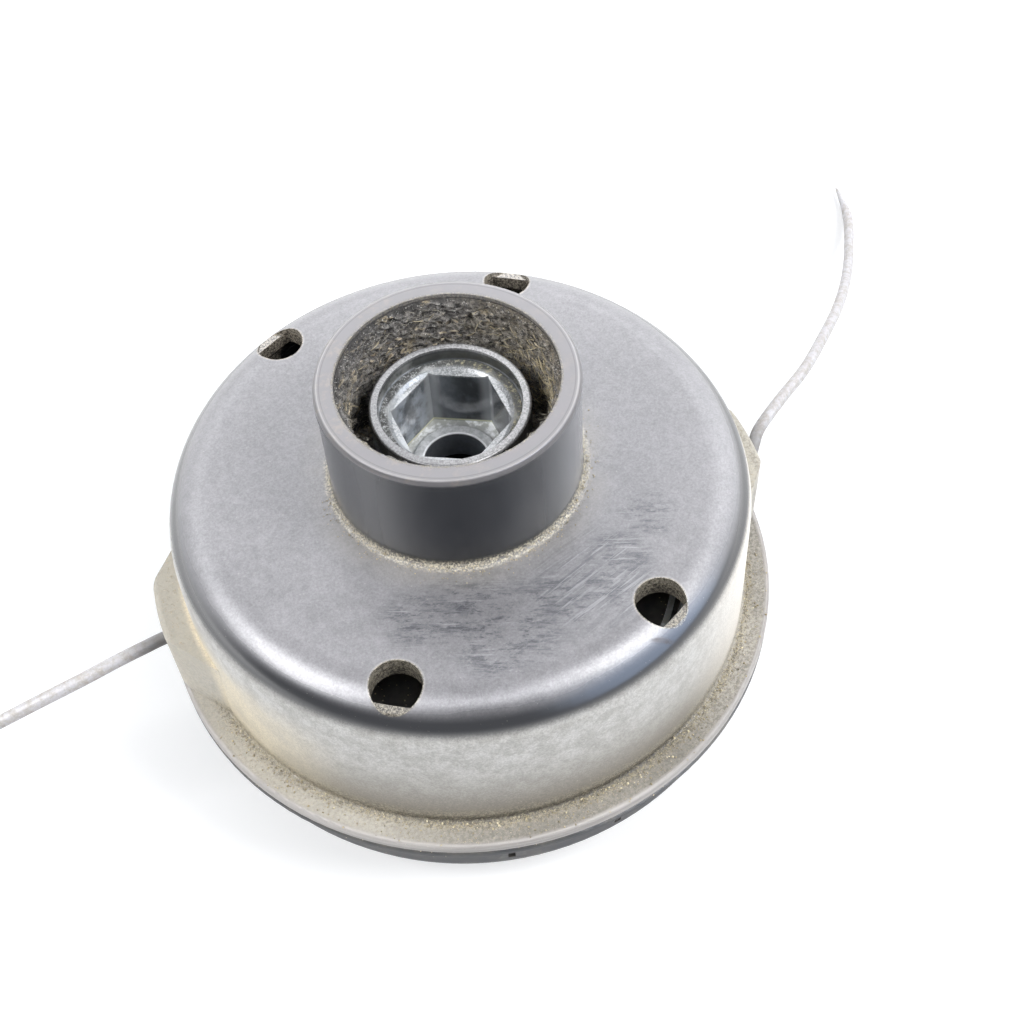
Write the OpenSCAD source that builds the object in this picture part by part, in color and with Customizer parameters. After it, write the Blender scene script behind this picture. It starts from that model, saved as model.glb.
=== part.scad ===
// Trimmer head with a two-line bump feed, standing on its knob.
// Z is the axis the head turns about, z = 0 is the surface under the knob, and the lines leave along X.
// Lengths are millimetres.

/* [Housing] */
// Radius of the wall where it meets the flange
wall_r = 49.5; // [48.5:0.1:50.5]
// How far the wall leans in by its draft
wall_draft = 0.5; // [0:0.1:1]
// Thickness of the wall
wall_t = 2.6; // [2.2:0.1:3]
// Height of the dome above the flange
dome_h = 31.4; // [30.8:0.1:35]
// Thickness of the dome
dome_t = 3; // [2.4:0.1:3.4]
// Radius of the shoulder between dome and wall
shoulder_r = 7.8; // [7:0.1:10]
// Radius of the flange and of the cover's rim under it
flange_r = 54.3; // [53.5:0.1:57]
// Thickness of the flange
flange_t = 2.2; // [1.8:0.1:3]
// Rounding of the flange's and the rim's edges
edge_r = 0.6; // [0.2:0.1:0.8]

/* [Collar and socket] */
// Height of the collar above the dome
collar_h = 21.3; // [16:0.1:26]
// Radius of the collar's lip
collar_r = 20.9; // [20:0.1:22]
// Radius of the collar's bore
collar_in_r = 17.64; // [16.8:0.02:18.4]
// How far the collar's wall stands back under its lip
lip_step = 0.15; // [0.1:0.05:0.4]
// Height of the lip
lip_h = 2; // [1.5:0.1:4]
// Rounding of the lip
lip_round = 0.8; // [0.3:0.1:1.2]
// Fillet where the collar meets the dome
foot_r = 1.2; // [0.6:0.1:1.6]
// Depth of the ring-shaped well below the dome
well_drop = 1.5; // [0.5:0.1:1.8]
// Thickness of the hub plate under the well
hub_t = 3; // [2.5:0.1:3.4]
// Radius of the socket boss
boss_r = 12.87; // [12.4:0.01:13.4]
// How far the boss stays below the collar's top
boss_drop = 6.2; // [3:0.1:9]
// Radius of the counterbore in the boss's top
boss_in_r = 11.55; // [10.6:0.05:11.8]
// Depth of that counterbore
boss_ledge = 2.5; // [1:0.1:4]
// Width of the hexagon pocket across its flats
hex_af = 17; // [16:0.1:18]
// Depth of the hexagon pocket below the boss's top
hex_depth = 14.7; // [10:0.1:15]
// Turn of the hexagon about the axis, in degrees
hex_turn = 35; // [0:1:59]
// Chamfer at the hexagon's mouth
hex_lead = 0.8; // [0.2:0.1:1]

/* [Holes through the shoulder] */
// Radius of a hole
hole_r = 4.1; // [3:0.1:4.6]
// Radius of the circle on which the holes lie
hole_pitch = 42.6; // [40:0.1:43]
// Angle from the X axis to a hole, in degrees
hole_turn = 60; // [45:1:65]
// How deep a hole's floor lies where it runs over the wall
hole_seat = 2.1; // [1.2:0.1:3]
// Width of that floor inside the wall
hole_ledge = 1.2; // [0.6:0.1:2]
// Depth of a hole's sides, which a ring under the dome carries on
hole_side = 4.1; // [3.6:0.1:4.6]
// Wall of that ring
hole_wall = 1.5; // [1:0.1:2]

/* [Line exits] */
// Height of an exit above the flange
exit_up = 7; // [6:0.1:8.5]
// Height of the ledge over an exit, above the flange
ledge_h = 15; // [13.5:0.1:17]
// Half the ledge's width at the wall
ledge_in = 15; // [13:0.1:16]
// Half the ledge's width at the flange's edge
ledge_out = 9; // [8:0.1:11]
// Rounding of the ledge's corners
ledge_round = 5; // [3:0.1:6]
// Rounding of the ledge's outer edge
ledge_edge = 1; // [0.4:0.1:1.5]
// Gap between a line and the bore of its eyelet
eyelet_room = 0.6; // [0.45:0.05:0.7]
// Wall of an eyelet
eyelet_t = 1.05; // [0.8:0.05:1.2]
// How far an eyelet's collar stands out round it
eyelet_lip = 1.1; // [0.7:0.05:1.3]
// Thickness of an eyelet's collar
eyelet_lip_t = 0.9; // [0.6:0.05:1.4]
// How far an eyelet reaches in past the wall
eyelet_in = 0.9; // [0.2:0.1:1.4]

/* [Centre post and bush] */
// Radius of the post on which the spool turns
post_r = 10.8; // [10.2:0.1:11.2]
// Radius of the well up the post
post_bore = 8.2; // [7.2:0.1:8.6]
// Gap between the post's end and the plane of the spool's underside
post_up = 0.5; // [0.2:0.1:2]
// Radius of the hole through the steel bush
bush_bore = 5.3; // [4.6:0.1:5.6]
// Wall of the bush
bush_t = 1.3; // [1:0.1:1.5]
// How far the bush's collar stands out round it
bush_lip = 0.6; // [0.4:0.1:1.4]
// Thickness of the bush's collar
bush_lip_t = 0.6; // [0.4:0.1:1.2]

/* [Spool] */
// Gap between the spool's flanges and the housing's wall
spool_room = 3.7; // [3.3:0.1:4.5]
// Thickness of the spool's flanges
web_t = 1.8; // [1.4:0.1:2]
// Height of the lower chamber for line
low_room = 14.4; // [12:0.1:14.8]
// Height of the upper chamber for line
up_room = 10.8; // [9:0.1:11.2]
// Radius of the spool's hub
hub_r = 20; // [19:0.1:21.5]
// Radius of the recess for the spring
recess_r = 16.5; // [16.3:0.1:17.2]
// Height of the recess's floor above the spool's underside
recess_h = 11; // [9:0.1:13]
// Gap between the hub and the upper teeth
up_tooth_gap = 4; // [2:0.1:5]
// Gap between the ring that the spool runs on and the lower teeth
low_tooth_gap = 1.6; // [1:0.1:2.4]
// Number of index teeth in each ring
teeth_n = 8; // [4:1:12]
// Height of the teeth on the spool's top
up_tooth = 1.6; // [1:0.1:1.9]
// Height of the teeth on the spool's underside
low_tooth = 1.3; // [0.8:0.1:1.6]
// Radial width of a ring of teeth
tooth_w = 4; // [2.5:0.1:4.5]
// How much narrower than a line the notches that park its end are
notch_grip = 0.1; // [0:0.05:0.3]
// Depth of those notches
notch_l = 4; // [2.5:0.1:6]
// Stroke of the spool and knob
stroke = 6.5; // [5:0.1:6.8]

/* [Spring] */
// Thickness of the spring's wire
wire_d = 1.6; // [1.2:0.1:1.8]
// Mean radius of the spring
coil_r = 14; // [13.8:0.1:14.4]
// Number of turns
coil_n = 6.5; // [5:0.5:7.5]
// Thickness of the washer under the spring
washer_t = 1; // [0.6:0.1:1.5]
// Thickness of the plastic seat over the spring
seat_t = 1; // [0.6:0.1:1.5]
// Depth of the seat's sleeve inside the spring
seat_h = 5; // [3:0.5:8]

/* [Line] */
// Thickness of the cutting line
line_d = 2.3; // [2:0.1:2.5]
// Depth of line wound in the upper chamber
up_wound = 17; // [8:0.5:20]
// Depth of line wound in the lower chamber
low_wound = 15; // [8:0.5:20]
// Width of the scraps of line on the spool
bit_w = 1; // [0.6:0.1:1.4]
// Thickness of those scraps
bit_t = 0.6; // [0.4:0.1:1]

/* [Cover] */
// Height of the cover's underside above the surface the knob stands on
knob_show = 13; // [10:0.5:16]
// Height of the cover from its underside to its rim
dish_h = 13; // [12.5:0.1:15]
// How far the rim stands out past the cover's side
rim_step = 1.8; // [1:0.1:2]
// Thickness of the rim
rim_t = 1.8; // [1.4:0.1:2.4]
// Thickness of the cover's side and floor
dish_t = 2.4; // [1.8:0.1:2.6]
// Lean of the cover's side by its draft
dish_draft = 0.8; // [0:0.1:1.2]
// Radius of the corner between the cover's side and floor
dish_round = 6; // [4:0.1:6.5]
// Gap round the knob in the cover's opening
knob_gap = 0.8; // [0.5:0.1:1.2]
// Height of the ring that the spool runs on
ring_h = 2.6; // [2.2:0.1:3.4]
// Width of that ring
ring_w = 2.4; // [1.5:0.1:2.8]
// Number of ribs on the cover's floor and under the dome
rib_n = 12; // [4:2:16]
// Thickness of a rib
rib_t = 1.4; // [1:0.1:2]
// Height of a rib
rib_h = 1.6; // [0.8:0.1:1.8]
// Width of a latch tongue
tongue_w = 12; // [8:0.5:15]
// Thickness of a latch tongue
tongue_t = 1.6; // [1.2:0.1:1.8]
// Reach of the latch's hook
hook = 1.5; // [1:0.1:1.7]
// Height of the hook itself
hook_h = 2.5; // [2:0.1:3]
// Height of the hook's catching face above the flange's top
hook_up = 1; // [0.5:0.1:2]
// Free way of the tongue inside the wall
tongue_room = 0.7; // [0.5:0.1:0.9]
// Depth of the housing's spigot below its flange
spigot_h = 3.5; // [2:0.1:4]
// Width of the finger pad
pad_w = 18; // [14:0.5:24]
// Slot round the finger pad
pad_slot = 1.2; // [0.8:0.1:2]

/* [Bump knob] */
// Radius of the knob
knob_r = 24.4; // [23.6:0.1:25]
// Rounding between the knob's face and its side
knob_round = 5.4; // [3:0.1:7]
// Thickness of the knob's face
knob_face = 3.4; // [2.6:0.1:4.5]
// Thickness of the knob's side
knob_t = 2.6; // [2:0.1:3]
// Radius of the circle on which the screws lie
screw_pitch = 16; // [15.8:0.1:16.2]
// Radius of a screw's shank
screw_r = 1.45; // [1.2:0.05:1.5]
// Length of a screw's shank
screw_l = 18; // [16:0.5:19]
// How far the pilot hole runs on past a screw
pilot_more = 1; // [0.5:0.1:1.5]
// Radius of a screw's head
head_r = 2.6; // [2.2:0.1:2.8]
// Height of a screw's head
head_h = 2.2; // [1.6:0.1:2.6]
// Depth of a screw head's seat above the knob's face
head_seat = 8; // [6:0.5:9]
// Wall round a screw
post_wall = 1; // [0.8:0.1:1.2]
// Radius of the knob's centring sleeve
sleeve_r = 12.8; // [12.6:0.1:13]
// Wall of the knob's centring sleeve
sleeve_t = 1.5; // [1:0.1:1.6]
// How far the centring sleeve enters the spool
sleeve_in = 1.2; // [0.8:0.1:2]

/* [Fits] */
// Running clearance of the spool on its post
run_gap = 0.07; // [0.04:0.01:0.1]
// Clearance between pieces that are pushed together
push_gap = 0.05; // [0.02:0.01:0.1]
// Clearance between the teeth of spool, housing and cover
catch_gap = 0.4; // [0.3:0.05:0.6]
// Clearance between the housing's spigot and the cover
spigot_gap = 0.2; // [0.1:0.05:0.4]
// Clearance round the washer and the latch
loose_gap = 0.3; // [0.2:0.05:0.5]

/* [Hidden] */
$fn = 96;
over = 1;                                   // how far a cut runs past the face that it opens
root = 0.5;                                 // how far teeth and ribs sink into what carries them

// heights, from the knob's face up
plate_z = knob_show + dish_t;
spool_z = plate_z + ring_h;
rim_z = knob_show + dish_h;
flange_z0 = rim_z + rim_t;
flange_z = flange_z0 + flange_t;
dome_z = flange_z + dome_h;
ceiling_z = dome_z - dome_t;
well_z = dome_z - well_drop;
hub_z = well_z - hub_t;
collar_z = dome_z + collar_h;
boss_z = collar_z - boss_drop;
pocket_z = boss_z - hex_depth;
shoulder_z = dome_z - shoulder_r;
exit_z = flange_z + exit_up;
ledge_z = flange_z + ledge_h;
post_z = spool_z + post_up;
mid_z = spool_z + web_t + low_room;
top_z = mid_z + web_t + up_room;
spool_top = top_z + web_t;
recess_z = spool_z + recess_h;
spring_z = recess_z + washer_t;
seat_z = hub_z - seat_t;

// radii
wall_top_r = wall_r - wall_draft;
shoulder_c = wall_top_r - shoulder_r;
wall_in = wall_r - wall_t;
wall_in_top = wall_top_r - wall_t;
corner_in = shoulder_r - dome_t;
collar_wall = collar_r - lip_step;
bore_r = post_r + run_gap;
spool_r = wall_in - spool_room;
tongue_r = wall_in - tongue_room;
dish_r = flange_r - rim_step;
dish_in = dish_r - dish_t;
dish_low = dish_r - dish_draft;
dish_c = dish_low - dish_round;
spigot_r = dish_in - spigot_gap;
open_r = knob_r + knob_gap;
ring_r = open_r + knob_gap;
up_tooth_r = hub_r + up_tooth_gap;
low_tooth_r = ring_r + ring_w + low_tooth_gap;
eyelet_bore = line_d / 2 + eyelet_room;
notch_w = line_d - notch_grip;
face_x = sqrt(pow(flange_r, 2) - pow(eyelet_bore + eyelet_t + eyelet_lip, 2));
hex_r = hex_af / 2 / cos(30);
bush_r = bush_bore + bush_t;

// latch and finger pad, in heights
hook_z = flange_z + hook_up;
spigot_z = flange_z0 - spigot_h;
bridge_z = spigot_z - loose_gap;
pad_z0 = knob_show + dish_round;
pad_z1 = rim_z - rim_t / 2;

// the two lines, from inside their exits to the free ends
LEFT_ROUTE = [[-46.5, 0, 37], [-50.5, 0, 37], [-54.5, 0, 37], [-58.5, -0.7, 36.9], [-63.5, -1.5, 36.5],
    [-70, -2.5, 35.6], [-77.5, -3.2, 34.2], [-85, -3.4, 32], [-92.5, -3, 29], [-100, -1.8, 25],
    [-107, 0.3, 20], [-114, 3.2, 14.5], [-120.5, 7, 9], [-127, 11.8, 4.8], [-133, 17.5, 2.2],
    [-139, 24, 1.3], [-144.5, 31, 1.3], [-149, 38.5, 1.3], [-152.5, 46, 1.3]];
RIGHT_ROUTE = [[46.5, 0, 37], [50.5, 0, 37], [53.8, 0.1, 37], [55.6, 1.1, 37], [57.3, 3.3, 37],
    [59.4, 6, 36.9], [62.5, 8.8, 36.4], [68.5, 14, 34.5], [77.5, 22, 30.5], [87.5, 33, 24.5],
    [98.5, 46, 17], [108, 59, 10.5], [116, 72, 5], [122.5, 85, 2], [125, 96, 1.3]];
BIT_1 = [22.5, -34.5];                      // where two scraps of line lie on the spool
BIT_2 = [24, -35.5];
ring_step = 2 * line_d;                     // distance between the rings of a line

// Section of a flat ring with rounded outer edges
module band(r0, r1, z0, z1, lo = 0, hi = 0) {
    difference() {
        translate([r0, z0]) square([r1 - r0, z1 - z0]);
        if (hi > 0) translate([r1 - hi, z1 - hi]) difference() { square(hi + over); circle(hi); }
        if (lo > 0) translate([r1 - lo, z0 + lo]) mirror([0, 1]) difference() { square(lo + over); circle(lo); }
    }
}

// Section of a hollow fillet between an upright wall at r and a floor at z
module fillet(r, z, f) {
    difference() { translate([r - f, z]) square([2 * f, f]); translate([r + f, z + f]) circle(f); }
}

// Part of a ring with the section below, as wide as w at radius r and centred on angle a
module sector(w, r, a) {
    half = asin(w / 2 / r);
    rotate([0, 0, a - half]) rotate_extrude(angle = 2 * half) children();
}

// Ring of ramp teeth that rise from z = 0, with their roots in what carries them
module teeth(r, h) {
    for (i = [0 : teeth_n - 1]) rotate([0, 0, i * 360 / teeth_n]) translate([r, 0, 0]) rotate([90, 0, 90])
        linear_extrude(tooth_w)
            polygon([[0, -root], [tooth_w, -root], [tooth_w, 0], [tooth_w / 4, h], [0, h]]);
}

// Radial ribs from radius r0 to r1 that rise from z = 0
module ribs(r0, r1, h) {
    for (i = [0 : rib_n - 1]) rotate([0, 0, (i + 0.5) * 360 / rib_n])
        translate([r0, -rib_t / 2, 0]) cube([r1 - r0, rib_t, h]);
}

// Points of a smooth curve through the points p, one about every step
function bend(a, b, c, d, t) = 0.5 * ((2 * b) + (c - a) * t + (2 * a - 5 * b + 4 * c - d) * t * t
    + (3 * b - a - 3 * c + d) * t * t * t);
function smooth(p, step) = let(m = len(p) - 1) concat([for (i = [0 : m - 1])
    let(n = max(1, round(norm(p[i + 1] - p[i]) / step)))
    for (k = [0 : n - 1]) bend(p[max(i - 1, 0)], p[i], p[i + 1], p[min(i + 2, m)], k / n)], [p[m]]);
function unit(v) = v / norm(v);

// Round tube of radius r along the points p
module tube(p, r, sides) {
    m = len(p) - 1;
    rings = [for (i = [0 : m]) let(t = unit(p[min(i + 1, m)] - p[max(i - 1, 0)]),
        a = unit(cross(t, [0, 0, 1])), b = cross(a, t))
        for (k = [0 : sides - 1]) p[i] + r * (cos(k * 360 / sides) * a + sin(k * 360 / sides) * b)];
    walls = [for (i = [0 : m - 1], k = [0 : sides - 1]) let(j = (k + 1) % sides)
        [i * sides + k, i * sides + j, (i + 1) * sides + j, (i + 1) * sides + k]];
    polyhedron(rings, concat(walls, [[for (k = [sides - 1 : -1 : 0]) k]],
        [[for (k = [0 : sides - 1]) m * sides + k]]), convexity = 6);
}

// Plan of a ledge: straight sides that narrow outwards, corners rounded, outer side on the flange's edge
module ledge_plan() {
    a = asin((ledge_out - ledge_round) / (flange_r - ledge_round));
    c = (flange_r - ledge_round) * [cos(a), sin(a)];
    foot = [wall_in, ledge_in];
    way = c - foot;
    turn = atan2(way[1], way[0]) + asin(ledge_round / norm(way));
    t = foot + sqrt(way * way - ledge_round * ledge_round) * [cos(turn), sin(turn)];
    difference() {
        union() {
            intersection() {
                circle(flange_r);
                polygon([[0, 0], 2 * c, [2 * c[0], -2 * c[1]]]);
            }
            for (s = [-1, 1]) translate([c[0], s * c[1]]) circle(ledge_round);
            polygon([foot, t, c, [c[0], -c[1]], [t[0], -t[1]], [foot[0], -foot[1]]]);
        }
        circle(wall_in);
    }
}

// Section of the housing: dome, shoulder, wall, flange and spigot round the post, collar and boss
module housing_section() {
    difference() {
        union() {
            difference() {
                union() {
                    polygon([[0, flange_z0], [wall_r, flange_z0], [wall_r, flange_z],
                        [wall_top_r, shoulder_z], [0, shoulder_z]]);
                    translate([0, shoulder_z]) square([shoulder_c, shoulder_r]);
                    translate([shoulder_c, shoulder_z]) circle(shoulder_r);
                    band(0, flange_r, flange_z0, flange_z, edge_r, edge_r);
                    fillet(wall_r, flange_z, edge_r);
                }
                polygon([[post_r, flange_z0 - over], [wall_in, flange_z0 - over], [wall_in, flange_z],
                    [wall_in_top, shoulder_z], [post_r, shoulder_z]]);
                translate([post_r, shoulder_z]) square([wall_in_top - corner_in - post_r, hub_z - shoulder_z]);
                translate([collar_r, shoulder_z]) square([wall_in_top - corner_in - collar_r, corner_in]);
                translate([wall_in_top - corner_in, shoulder_z]) circle(corner_in);
            }
            translate([0, post_z]) square([post_r, hub_z - post_z]);
            translate([wall_in, spigot_z]) square([spigot_r - wall_in, spigot_h]);
            polygon([[0, dome_z], [collar_r, dome_z], [collar_wall, collar_z - lip_h], [0, collar_z - lip_h]]);
            band(0, collar_r, collar_z - lip_h, collar_z, 0, lip_round);
            fillet(collar_r, dome_z, foot_r);
        }
        difference() {
            translate([0, well_z]) square([collar_in_r, collar_z + over - well_z]);
            band(0, boss_r, well_z, boss_z, 0, (boss_r - boss_in_r) / 3);
        }
        translate([0, boss_z - boss_ledge]) square([boss_in_r, boss_ledge + over]);
        translate([0, post_z - over]) square([post_bore, hub_z - post_z + over]);
        translate([0, hub_z - over]) square([bush_r + push_gap, pocket_z - hub_z + 2 * over]);
    }
}

// Places the children on the axes of the four holes through the shoulder
module shoulder_holes() {
    for (s = [-1, 1], a = [hole_turn, 180 - hole_turn]) rotate([0, 0, s * a]) translate([hole_pitch, 0, 0])
        children();
}

module housing() {
    color("#2b2b2d") difference() {
        union() {
            rotate_extrude() housing_section();
            for (a = [0, 180]) rotate([0, 0, a]) intersection() {
                translate([0, 0, flange_z - edge_r]) linear_extrude(ledge_h + edge_r) ledge_plan();
                rotate_extrude() band(0, flange_r, flange_z - edge_r, ledge_z, 0, ledge_edge);
            }
            intersection() {
                shoulder_holes() translate([0, 0, dome_z - hole_side])
                    cylinder(r = hole_r + hole_wall, h = hole_side - dome_t + root);
                cylinder(r = wall_in_top, h = dome_z);
            }
            translate([0, 0, ceiling_z]) mirror([0, 0, 1])
                teeth(up_tooth_r, ceiling_z - spool_top - up_tooth - stroke - catch_gap);
            translate([0, 0, ceiling_z - rib_h])
                ribs(up_tooth_r + tooth_w, wall_in_top - corner_in, rib_h + root);
        }
        // hexagon pocket with its lead-in
        rotate([0, 0, hex_turn]) translate([0, 0, pocket_z])
            cylinder(r = hex_r, h = hex_depth + over, $fn = 6);
        translate([0, 0, boss_z - boss_ledge - hex_lead])
            cylinder(r1 = hex_r - hex_lead / 2, r2 = hex_r + hex_lead / 2, h = hex_lead);
        // holes through the shoulder; over the wall their floor is only a seat
        shoulder_holes() translate([0, 0, dome_z - hole_seat]) cylinder(r = hole_r, h = hole_seat + over);
        intersection() {
            shoulder_holes() translate([0, 0, shoulder_z]) cylinder(r = hole_r, h = shoulder_r);
            cylinder(r = wall_in_top - hole_ledge, h = dome_z);
        }
        // seats of the eyelets
        for (a = [0, 180]) rotate([0, 0, a]) translate([wall_in - over, 0, exit_z]) rotate([0, 90, 0]) {
            cylinder(r = eyelet_bore + eyelet_t + push_gap, h = flange_r - wall_in + 2 * over);
            translate([0, 0, face_x - eyelet_lip_t - wall_in + over])
                cylinder(r = eyelet_bore + eyelet_t + eyelet_lip + push_gap, h = flange_r);
        }
        // pockets for the latch hooks
        for (a = [-90, 90]) sector(tongue_w + 2 * loose_gap, tongue_r, a) translate([tongue_r - over, hook_z])
            square([over + hook + loose_gap, hook_h + loose_gap]);
    }
}

module centre_bush() {
    color("#b9b4a6") rotate_extrude() difference() {
        union() {
            translate([0, hub_z]) square([bush_r, pocket_z - hub_z]);
            band(0, bush_r + bush_lip, pocket_z, pocket_z + bush_lip_t, 0, bush_lip_t / 2);
        }
        translate([0, hub_z - over]) square([bush_bore, pocket_z - hub_z + bush_lip_t + 2 * over]);
    }
}

// Eyelet on the X axis with its collar flush in the ledge
module eyelet() {
    x0 = wall_in - eyelet_in;
    color("#8f9092") translate([x0, 0, exit_z]) rotate([0, 90, 0]) rotate_extrude() difference() {
        union() {
            translate([eyelet_bore, 0]) square([eyelet_t, face_x - x0]);
            band(eyelet_bore, eyelet_bore + eyelet_t + eyelet_lip, face_x - eyelet_lip_t - x0, face_x - x0, 0,
                eyelet_lip_t / 3);
        }
        translate([eyelet_bore, face_x - x0]) difference() {
            translate([-over, -eyelet_t / 2]) square([eyelet_t / 2 + over, eyelet_t / 2 + over]);
            translate([eyelet_t / 2, -eyelet_t / 2]) circle(eyelet_t / 2);
        }
    }
}
module left_eyelet() { mirror([1, 0, 0]) eyelet(); }
module right_eyelet() { eyelet(); }

module spring_seat() {
    color("#d8d6cf") rotate_extrude() {
        translate([post_r + loose_gap, seat_z]) square([recess_r - post_r - 2 * loose_gap, seat_t]);
        translate([post_r + loose_gap, seat_z - seat_h])
            square([coil_r - wire_d / 2 - post_r - 2 * loose_gap, seat_h + seat_t]);
    }
}

module cover_section() {
    difference() {
        union() {
            band(dish_c, flange_r, rim_z, flange_z0, edge_r, edge_r);
            polygon([[0, pad_z0], [dish_low, pad_z0], [dish_r, rim_z + edge_r], [0, rim_z + edge_r]]);
            translate([dish_c, pad_z0]) circle(dish_round);
            translate([open_r, knob_show]) square([dish_c - open_r, dish_round]);
        }
        polygon([[0, pad_z0], [dish_low - dish_t, pad_z0], [dish_in, rim_z], [dish_in, flange_z0 + over],
            [0, flange_z0 + over]]);
        translate([dish_c, pad_z0]) circle(dish_round - dish_t);
        translate([0, plate_z]) square([dish_c, dish_round]);
        square([open_r, rim_z]);
    }
    translate([ring_r, plate_z - over]) square([ring_w, ring_h + over]);
}

module cover() {
    color("#232325") {
        difference() {
            rotate_extrude() cover_section();
            // slots that free a finger pad on either side
            for (a = [-90, 90]) difference() {
                sector(pad_w + 2 * pad_slot, dish_r, a) translate([dish_in - over - dish_draft, pad_z0])
                    square([dish_t + dish_draft + 2 * over, pad_z1 - pad_z0 - rim_t / 2]);
                sector(pad_w, dish_r, a) translate([dish_in - 2 * over - dish_draft, pad_z0 - over])
                    square([dish_t + dish_draft + 4 * over, pad_z1 - pad_z0 - rim_t / 2 - pad_slot + over]);
            }
        }
        // latch tongues, each carried by a bridge from its pad
        for (a = [-90, 90]) sector(tongue_w, tongue_r, a) {
            translate([tongue_r - tongue_t, bridge_z - tongue_t])
                square([dish_in - tongue_r + tongue_t + dish_t / 2, tongue_t]);
            polygon([[tongue_r - tongue_t, bridge_z - tongue_t], [tongue_r, bridge_z - tongue_t],
                [tongue_r, hook_z], [tongue_r + hook, hook_z], [tongue_r + hook, hook_z + hook / 3],
                [tongue_r, hook_z + hook_h], [tongue_r - tongue_t, hook_z + hook_h]]);
        }
        translate([0, 0, plate_z - root]) ribs(low_tooth_r + tooth_w, dish_c, rib_h + root);
        translate([0, 0, plate_z]) teeth(low_tooth_r, ring_h - low_tooth - catch_gap);
    }
}

module thrust_washer() {
    color("#a5a7a8") rotate_extrude() translate([post_r + loose_gap, recess_z])
        square([recess_r - post_r - 2 * loose_gap, washer_t]);
}

// Height of the wire's centre above its lowest point, u turns along a spring of height h
function coil_z(u, h) = u < 1 ? wire_d * u : u > coil_n - 1 ? h - wire_d * (coil_n - u)
    : wire_d + (u - 1) / (coil_n - 2) * (h - 2 * wire_d);
module spring() {
    h = seat_z - spring_z - wire_d;
    color("#6f7173") tube([for (i = [0 : coil_n * 24]) let(u = i / 24)
        [coil_r * cos(360 * u), coil_r * sin(360 * u), spring_z + wire_d / 2 + coil_z(u, h)]], wire_d / 2, 8);
}

module spool() {
    color("#1f1f21") difference() {
        union() {
            rotate_extrude() difference() {
                union() {
                    translate([bore_r, spool_z]) square([hub_r - bore_r, spool_top - spool_z]);
                    for (z = [spool_z, mid_z, top_z]) band(bore_r, spool_r, z, z + web_t, edge_r, edge_r);
                }
                translate([bore_r - over, recess_z]) square([recess_r - bore_r + over, spool_top - recess_z + over]);
                translate([bore_r - over, spool_z - over])
                    square([sleeve_r + push_gap - bore_r + over, sleeve_in + push_gap + over]);
            }
            translate([0, 0, spool_top]) teeth(up_tooth_r, up_tooth);
            translate([0, 0, spool_z]) mirror([0, 0, 1]) teeth(low_tooth_r, low_tooth);
        }
        // notches that park the ends of the lines
        for (a = [0, 180], z = [mid_z, top_z]) rotate([0, 0, a]) translate([0, 0, z - over]) {
            translate([spool_r - notch_l, 0, 0]) cylinder(d = notch_w, h = web_t + 2 * over);
            translate([spool_r - notch_l, -notch_w / 2, 0]) cube([notch_l + over, notch_w, web_t + 2 * over]);
        }
        screws() cylinder(r = screw_r + push_gap, h = head_seat + screw_l + pilot_more);
    }
}

// Places the children on the three screws' axes
module screws() {
    for (i = [0 : 2]) rotate([0, 0, 30 + i * 120]) translate([screw_pitch, 0, 0]) children();
}

// Line wound to depth deep on the hub from height z, in a chamber room high
module winding(z, room, deep) {
    n = floor(room / line_d);
    rotate_extrude() {
        translate([hub_r + push_gap, z]) square([deep - line_d / 2, n * line_d]);
        for (i = [0 : n - 1]) translate([hub_r + push_gap + deep - line_d / 2, z + (i + 0.5) * line_d])
            circle(d = line_d);
    }
}
module upper_winding() { color("#5d6063") winding(mid_z + web_t, up_room, up_wound); }
module lower_winding() { color("#5d6063") winding(spool_z + web_t, low_room, low_wound); }

// Flat scrap of line that lies on the spool, r the radius it curls at
module line_bit(p, a, r) {
    color("#8b8d8c") translate([p[0], p[1], spool_top]) rotate([0, 0, a]) translate([-r, 0, 0])
        rotate_extrude(angle = 24) translate([r, 0]) square([bit_w, bit_t]);
}
module line_bit_1() { line_bit(BIT_1, -43, 30); }
module line_bit_2() { line_bit(BIT_2, -45, 26); }

module bump_knob() {
    color("#1b1b1c") difference() {
        union() {
            rotate_extrude() {
                difference() {
                    band(0, knob_r, 0, spool_z, knob_round, 0);
                    band(0, knob_r - knob_t, knob_face, spool_z + over, knob_round - knob_t, 0);
                }
                translate([sleeve_r - sleeve_t, knob_face - over])
                    square([sleeve_t, spool_z + sleeve_in - knob_face + over]);
            }
            screws() cylinder(r = head_r + loose_gap + post_wall, h = spool_z);
        }
        screws() {
            translate([0, 0, -over]) cylinder(r = head_r + loose_gap, h = head_seat + over);
            cylinder(r = screw_r + loose_gap, h = spool_z + over);
        }
    }
}

// Screw with a cross recess in its head
module knob_screw(i) {
    color("#9a9b9d") rotate([0, 0, 30 + i * 120]) translate([screw_pitch, 0, head_seat]) difference() {
        union() {
            cylinder(r = screw_r, h = screw_l);
            translate([0, 0, -head_h]) cylinder(r = head_r, h = head_h);
        }
        for (a = [0, 90]) rotate([0, 0, a]) translate([-head_r * 0.6, -head_r * 0.15, -head_h - over])
            cube([head_r * 1.2, head_r * 0.3, over + head_h / 2]);
    }
}
module knob_screw_1() { knob_screw(0); }
module knob_screw_2() { knob_screw(1); }
module knob_screw_3() { knob_screw(2); }

module left_line() { color("#8a8c8e") tube(smooth(LEFT_ROUTE, ring_step), line_d / 2, 8); }
module right_line() { color("#8a8c8e") tube(smooth(RIGHT_ROUTE, ring_step), line_d / 2, 8); }

housing();
centre_bush();
left_eyelet();
right_eyelet();
spring_seat();
cover();
thrust_washer();
spring();
spool();
upper_winding();
lower_winding();
line_bit_1();
line_bit_2();
bump_knob();
knob_screw_1();
knob_screw_2();
knob_screw_3();
left_line();
right_line();
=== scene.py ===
import math
import random

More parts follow.
